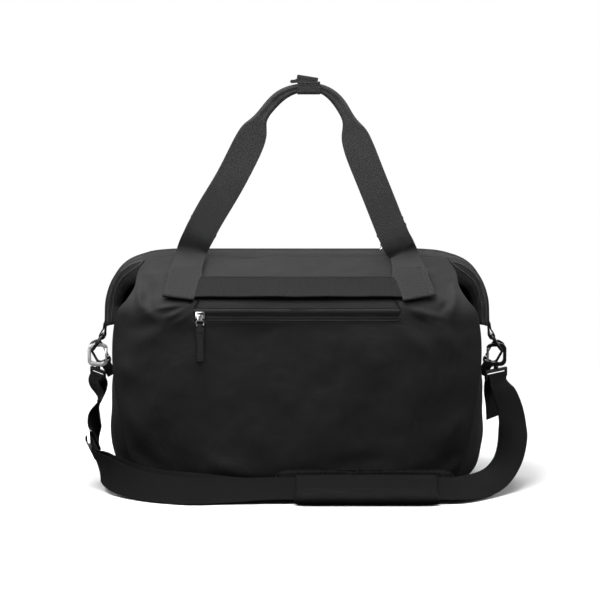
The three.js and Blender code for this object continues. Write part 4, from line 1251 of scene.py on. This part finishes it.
# The main webbing through half of the adjuster, in millimetres from its middle.
ADJUSTER_HALF = [(22, 1.5), (14.5, 2.8), (11, 2.9), (8.8, 1.2), (6.6, -2), (3.6, -4.9)]
# The second layer round the adjuster's middle bar and back under the main webbing.
ADJUSTER_BACK = [(-1.8, -2.75), (1, -2.75), (3.1, -2.1), (3.7, 0), (3.1, 2.1), (0.8, 2.9)]
ADJUSTER_BACK += [(-3, 3.9), (-7.5, 4.9), (-12.5, 5.6), (-22, 6.2)]


def in_pad(x, out=0.0, down=0.0):
    return (x, PAD.y + out, PAD.z - down, *PAD_UP)


def round_bar(side, turn, flip):
    """The stretch round a swivel base's lower bar."""
    w = Vector((side * cos(turn) * flip, sin(turn) * flip, 0))
    n = Vector((side * sin(turn), -cos(turn)))

    def at(out, z):
        return (side * HOOK_X + n.x * out, n.y * out, z, *w)

    half = [(0.0044, BAR_Z - 0.007), (0.0028, BAR_Z + 0.001), (0.0023, BAR_Z + 0.0033)]
    return [at(-o, z) for o, z in half] + [at(0, SLOT_Z + 0.0002)] + [at(o, z) for o, z in reversed(half)]


MAIN_ROUTE = [
    (0.267, 0.014, 0.078, -0.68, -0.73, 0),
    (0.265, 0.012, 0.104, -0.66, -0.75, 0),
    *round_bar(1, BASE_TURN["right"], -1),
    (0.276, -0.009, 0.115, -0.86, -0.50, 0),
    (0.283, -0.016, 0.097, -0.88, -0.45, -0.05),
    (0.286, -0.028, 0.077, -0.90, -0.30, 0.05),
    (0.284, -0.048, 0.055, -0.90, 0.20, 0),
    (0.276, -0.072, 0.036, -0.80, 0.50, 0.20),
    (0.260, -0.101, 0.022, -0.50, 0.65, 0.45),
    (0.240, -0.127, 0.0165, -0.25, 0.72, 0.58),
    (0.219, -0.146, 0.016, -0.08, 0.80, 0.58),
    *(in_pad(x) for x in (0.203, 0.180, 0.140, 0.080, 0.020, -0.032)),
    (-0.058, -0.156, 0.016, 0, 0.80, 0.60),
    (-0.095, -0.160, 0.0152, 0, 0.74, 0.67),
    (-0.134, -0.164, 0.0152, 0, 0.70, 0.71),
    (-0.163, -0.157, 0.0154, 0.08, 0.68, 0.73),
    (-0.190, -0.146, 0.0165, 0.15, 0.60, 0.78),
    (-0.216, -0.130, 0.0195, 0.10, 0.50, 0.86),
    (-0.238, -0.111, 0.0245, 0, 0.35, 0.93),
    (-0.254, -0.092, 0.0305, -0.10, 0.05, 0.97),
    *(by_adjuster(-s, n) for s, n in ADJUSTER_HALF),
    by_adjuster(0, -5.3),
    *(by_adjuster(s, n) for s, n in reversed(ADJUSTER_HALF)),
    (-0.2685, -0.030, 0.077, -0.30, -0.50, 0.80),
    (-0.265, -0.019, 0.093, -0.10, -0.95, 0.30),
    (-0.262, -0.010, 0.110, 0.30, -0.95, 0),
    *reversed(round_bar(-1, BASE_TURN["left"], -1)),
    (-0.268, 0.008, 0.108, 0.40, -0.92, 0),
]
LAYER_ROUTE = [
    *(by_adjuster(s, n) for s, n in ADJUSTER_BACK),
    (-0.249, -0.086, 0.0320, -0.05, 0.05, 0.98),
    (-0.231, -0.103, 0.0255, 0, 0.25, 0.96),
    (-0.207, -0.117, 0.0205, 0.05, 0.50, 0.86),
    (-0.176, -0.131, 0.0180, 0.10, 0.58, 0.80),
    (-0.134, -0.144, 0.0175, 0, 0.66, 0.75),
    (-0.095, -0.1525, 0.0162, 0, 0.72, 0.69),
    (-0.058, -0.1534, 0.0145, 0, 0.80, 0.60),
    *(in_pad(x, 0.0016, 0.0019) for x in (-0.032, 0.010, 0.050)),
]
for name, node, route, steps in (
    ("shoulder_strap_webbing", "strap_webbing", MAIN_ROUTE, 760),
    ("shoulder_strap_layer", "strap_second_layer", LAYER_ROUTE, 300),
):
    strap = webbing_strip(name, route, STRAP, STRAP_THICK, steps, STRAP_SHADED_WEB, 0.0006)
    mount(strap, "shoulder_strap", "webbing", node)

# ---- The shoulder pad and its sleeve ----
PAD_TOP, PAD_BOTTOM, PAD_LOW, PAD_HIGH = 0.118, 0.090, -0.015, 0.034
PAD_THICK, PAD_BEHIND = 0.005, 0.0039
PAD_VOXEL = 0.0022
PAD_FREE, PAD_EASE = 0.0225, 0.003  # where the pad comes clear of the sleeve, and over what height


def pad_point(x, up, out):
    p = Vector((PAD.x + x, PAD.y, PAD.z)) + PAD_UP * up + PAD_OUT * out
    p.z = max(p.z, 0.0004)
    return p


def quadratic(a, b, c, steps):
    a, b, c = Vector(a), Vector(b), Vector(c)
    return [a.lerp(b, t).lerp(b.lerp(c, t), t) for t in (k / steps for k in range(1, steps + 1))]


def pad_outline(inset):
    """The pad's outline, from the middle of its lower edge round to the right and back."""
    top, bottom, low, high = PAD_TOP - inset, PAD_BOTTOM - inset, PAD_LOW + inset, PAD_HIGH - inset
    half = [Vector((0, low)), Vector((bottom * 0.5, low)), Vector((bottom, low))]
    half += quadratic((bottom, low), (top, low), (top, 0.012), 7)
    half += quadratic((top, 0.012), (top, high), (top - 0.022, high), 7)
    half += [Vector((top * 0.5, high)), Vector((0, high))]
    return half + [Vector((-p.x, p.y)) for p in reversed(half[1:-1])]


def cushion():
    """The pad: cloth blown up over its outline and flattened where it lies, sewn and bound at its edge."""
    back = -PAD_BEHIND - PAD_THICK
    ring = pad_outline(0.0025)
    lo, hi = back + 0.0014, -PAD_BEHIND - 0.0014
    mid = (lo + hi) / 2
    loops = [[Vector((p.x, p.y, z)) for p in ring] for z in (lo - 0.0006, mid, hi + 0.0006)]
    obj = loft("pad_cushion", loops, PADDED)
    work = obj.modifiers.new("remesh", "REMESH")
    work.mode = "VOXEL"
    work.voxel_size = PAD_VOXEL
    bake(obj)
    rest = [v.co.copy() for v in obj.data.vertices]
    cloth = obj.modifiers.new("cloth", "CLOTH")
    cloth.settings.quality = 6
    cloth.settings.mass = 0.3
    cloth.settings.tension_stiffness = 22
    cloth.settings.compression_stiffness = 22
    cloth.settings.bending_stiffness = 0.5
    cloth.settings.use_pressure = True
    cloth.settings.uniform_pressure_force = 4
    cloth.settings.effector_weights.gravity = 0
    frames = 20
    cloth.point_cache.frame_start = 1
    cloth.point_cache.frame_end = frames
    scene = bpy.context.scene
    for step in range(1, frames + 1):
        scene.frame_set(step)
    bake(obj)
    scene.frame_set(1)
    farthest = 0.0028
    for v, p in zip(obj.data.vertices, rest):
        move = v.co - p
        v.co = p + move * min(1, farthest / max(move.length, 1e-9))
    sub = obj.modifiers.new("smooth", "SUBSURF")
    sub.levels = 1
    bake(obj)
    edge = pad_outline(0.0050)
    segments = list(zip(edge, edge[1:] + edge[:1]))
    for v in obj.data.vertices:
        p = Vector((v.co.x, v.co.y))
        d = 1
        for a, b in segments:
            f = clamp((p - a).dot(b - a) / max((b - a).length_squared, 1e-12))
            d = min(d, (p - a.lerp(b, f)).length)
        channel = bell(d, 0.0016) * 0.0012
        pucker = bell(d, 0.009) * 0.0005 * sin(p.x * 900 + 3 * sin(p.y * 200))
        away = 1 if v.co.z > mid else -1
        z = v.co.z - away * channel + away * pucker
        free = ease((p.y - PAD_FREE) / PAD_EASE)
        z = min(max(z, back + 0.0002), -PAD_BEHIND - 0.0002 + 0.004 * free)
        swell = free * 0.0045 * (1 if away > 0 else 0.3)
        v.co = pad_point(p.x, p.y + 0.0030 * free, z + swell)
    for polygon in obj.data.polygons:
        polygon.use_smooth = True
    mount(obj, "shoulder_pad", "pad_cloth", "shoulder_pad")
    ring = pad_outline(0.0012)
    dense = []
    for a, b in zip(ring, ring[1:] + ring[:1]):
        n = max(1, int((b - a).length / 0.004))
        dense += [a.lerp(b, k / n) for k in range(n)]
    path = []
    for i, p in enumerate(dense):
        q = pad_point(p.x, p.y, mid + 0.0004 * sin(i * 1.9))
        up = (q - pad_point(q.x - PAD.x, 0, 0)).dot(PAD_UP)
        path.append(q + (PAD_UP * 0.0028 + PAD_OUT * 0.002) * ease((up - PAD_FREE) / PAD_EASE))
    binding = tube("pad_binding", path, 0.0012, PADDED, 10, loop=True, reference=PAD_OUT)
    mount(binding, "shoulder_pad", "pad_cloth")


cushion()


def sleeve():
    """The cloth tunnel that holds the strap to the pad, rounded at its ends and sewn along both sides."""
    half, end_l, end_r = 0.0226, -0.088, 0.092
    section = [(-half, -0.0034), (-half - 0.0004, 0.0), (-half + 0.0008, 0.0026), (-0.020, 0.0036)]
    section += [(-0.012, 0.0041), (0.0, 0.0043), (0.012, 0.0041), (0.020, 0.0036)]
    section += [(half - 0.0008, 0.0026), (half + 0.0004, 0.0), (half, -0.0034)]
    inner = [(u * 0.90, out - 0.0009) for u, out in reversed(section[1:-1])]
    inner = [(half - 0.0022, -0.0034), *inner, (-half + 0.0022, -0.0034)]
    rings = []
    for i in range(91):
        t = i / 90
        x = end_l + (end_r - end_l) * t
        close = min(t, 1 - t) * (end_r - end_l)
        pinch = 0.0006 * bell(close, 0.006)
        ring = []
        for u, out in section:
            puff = 0.0004 * ripple(x, u, 0, 60, 5) if out > 0 else 0
            ring.append(pad_point(x, u, out - (pinch if out > 0 else 0) + puff))
        ring += [pad_point(x, u, out) for u, out in inner]
        rings.append(ring)
    mount(loft("pad_tunnel", rings, PADDED), "shoulder_pad", "pad_cloth", "pad_sleeve")
    runs = []
    for u in (0.0160, 0.0202):
        path = [pad_point(end_l + 0.004 + (end_r - end_l - 0.008) * k / 40, u, 0.0036) for k in range(41)]
        runs.append((path, [PAD_OUT] * 41))
    stitches("pad_tunnel_stitches", "shoulder_pad", runs, THREAD)


def lobe():
    """The sleeve's padded lower edge, turned up over its front, with puckered edge stitching."""
    outline = [(-0.0235, -0.0020), (-0.0262, -0.0012), (-0.0298, 0.0028), (-0.0298, 0.0078)]
    outline += [(-0.0265, 0.0112), (-0.0215, 0.0127), (-0.0160, 0.0127), (-0.0110, 0.0117)]
    outline += [(-0.0076, 0.0095), (-0.0066, 0.0068), (-0.0085, 0.0050), (-0.0150, 0.0048)]
    outline += [(-0.0220, 0.0047), (-0.0240, 0.0030)]
    closed = [Vector((v, out, 0)) for v, out in outline + outline[:1]]
    count = 56
    smooth = [smooth_at(closed, k / count) for k in range(count)]
    anchor = Vector((-0.0250, 0.0030, 0))
    left, right, turn = -0.0905, 0.0945, 0.020
    rings = []
    for i in range(241):
        x = left + (right - left) * i / 240
        close = min(x - left, right - x)
        full = sqrt(max(1 - (max(turn - close, 0) / turn) ** 2, 0)) if close < turn else 1
        ring = []
        for k, q in enumerate(smooth):
            d = q - anchor
            v = anchor.x + d.x * (0.04 + 0.96 * full)
            out = anchor.y + d.y * (0.35 + 0.65 * full)
            rim = bell(k / count - 0.60, 0.045)
            line = bell(k / count - 0.475, 0.018)
            out += 0.00045 * rim * sin(x * 1500) - 0.0008 * line
            out += 0.0006 * ripple(x, v, 0, 40, 3) * (1 if q.y > 0.006 else 0)
            ring.append(pad_point(x, v, out))
        rings.append(ring)
    mount(loft("pad_lobe", rings, PADDED), "shoulder_pad", "pad_cloth")


sleeve()
lobe()

# ---- Pieces that stay hidden while the zips are closed ----
for node, material, slot in (
    ("lining", LINING, "lining_cloth"),
    ("pocket_bag", LINING, "lining_cloth"),
    ("base_board", COIL, "board"),
):
    carried(node, node + "_finished", material, "bag", slot, 0)

# ---- Floor, light and camera ----
def aimed(name, data, place, target):
    obj = placed(name, data)
    obj.location = place
    obj.rotation_euler = (Vector(target) - Vector(place)).to_track_quat("-Z", "Y").to_euler()
    return obj


def soft_light(name, place, target, size, energy):
    data = bpy.data.lights.new(name, "AREA")
    data.energy = energy
    data.shape = "RECTANGLE"
    data.size = data.size_y = size
    return aimed(name, data, place, target)


def floor_material():
    """A plain pale floor that runs out into the white background."""
    m = Nodes("pale_floor", (0.93, 0.93, 0.93), 0.8, Specular_IOR_Level=0.0)
    reach = m.node("ShaderNodeVectorMath", operation="LENGTH")
    m.link(m.coordinate(), reach.inputs[0])
    far = m.node("ShaderNodeMapRange", From_Min=0.45, From_Max=1.1)
    far.interpolation_type = "SMOOTHSTEP"
    m.link(reach.outputs["Value"], far.inputs["Value"])
    glow = m.node("ShaderNodeEmission", Strength=1.0)
    mix = m.node("ShaderNodeMixShader")
    m.link(far.outputs["Result"], mix.inputs["Fac"])
    m.link(m.shader.outputs["BSDF"], mix.inputs[1])
    m.link(glow.outputs["Emission"], mix.inputs[2])
    dim = m.node("ShaderNodeBsdfDiffuse", Color=(0.10, 0.10, 0.10, 1))
    seen = m.node("ShaderNodeMixShader")
    m.link(m.node("ShaderNodeLightPath").outputs["Is Camera Ray"], seen.inputs["Fac"])
    m.link(dim.outputs["BSDF"], seen.inputs[1])
    m.link(mix.outputs["Shader"], seen.inputs[2])
    m.link(seen.outputs["Shader"], m.tree.nodes["Material Output"].inputs["Surface"])
    return m.material


def studio_world(ambient):
    """White to the camera, and a weaker soft light from all round."""
    world = bpy.data.worlds.new("studio")
    bpy.context.scene.world = world
    world.use_nodes = True
    tree = world.node_tree
    tree.nodes["Background"].inputs["Color"].default_value = (1, 1, 1, 1)
    tree.nodes["Background"].inputs["Strength"].default_value = ambient
    white = tree.nodes.new("ShaderNodeBackground")
    white.inputs["Color"].default_value = (1, 1, 1, 1)
    mix = tree.nodes.new("ShaderNodeMixShader")
    tree.links.new(tree.nodes.new("ShaderNodeLightPath").outputs["Is Camera Ray"], mix.inputs["Fac"])
    tree.links.new(tree.nodes["Background"].outputs["Background"], mix.inputs[1])
    tree.links.new(white.outputs["Background"], mix.inputs[2])
    tree.links.new(mix.outputs["Shader"], tree.nodes["World Output"].inputs["Surface"])


floor = piece("floor", [(-6, -4, 0), (6, -4, 0), (6, 6, 0), (-6, 6, 0)], [(0, 1, 2, 3)], floor_material())
studio_world(0.055)
# Name, place, target, size in metres and power in watts.
soft_light("key", (-0.55, -0.12, 1.30), (0, 0, 0.10), 1.0, 25)
soft_light("top", (0.45, 0.10, 1.70), (0, 0, 0.10), 1.0, 16)
soft_light("front", (0.05, -0.35, 0.68), (0.02, -0.10, 0.26), 0.36, 2)
soft_light("back", (0.30, 1.80, 0.50), (0, 0, 0.20), 1.0, 6)
soft_light("side", (1.5, 0.05, 0.55), (0.25, 0, 0.22), 0.6, 9)
shine = soft_light("shine", (-1.3, -2.4, 1.0), (0, 0, 0.2), 1.8, 45)
shine.visible_diffuse = False
bpy.context.scene.view_settings.view_transform = "Standard"

CAMERA_TARGET = Vector((0.004, 0, 0.238))
CAMERA_DISTANCE = 3.0
CAMERA_TILT = radians(8)
camera_data = bpy.data.cameras.new("camera")
camera_data.lens = 135.4
camera_data.sensor_width = 36
camera_place = CAMERA_TARGET + Vector((0, -cos(CAMERA_TILT), sin(CAMERA_TILT))) * CAMERA_DISTANCE
bpy.context.scene.camera = aimed("camera", camera_data, camera_place, CAMERA_TARGET)
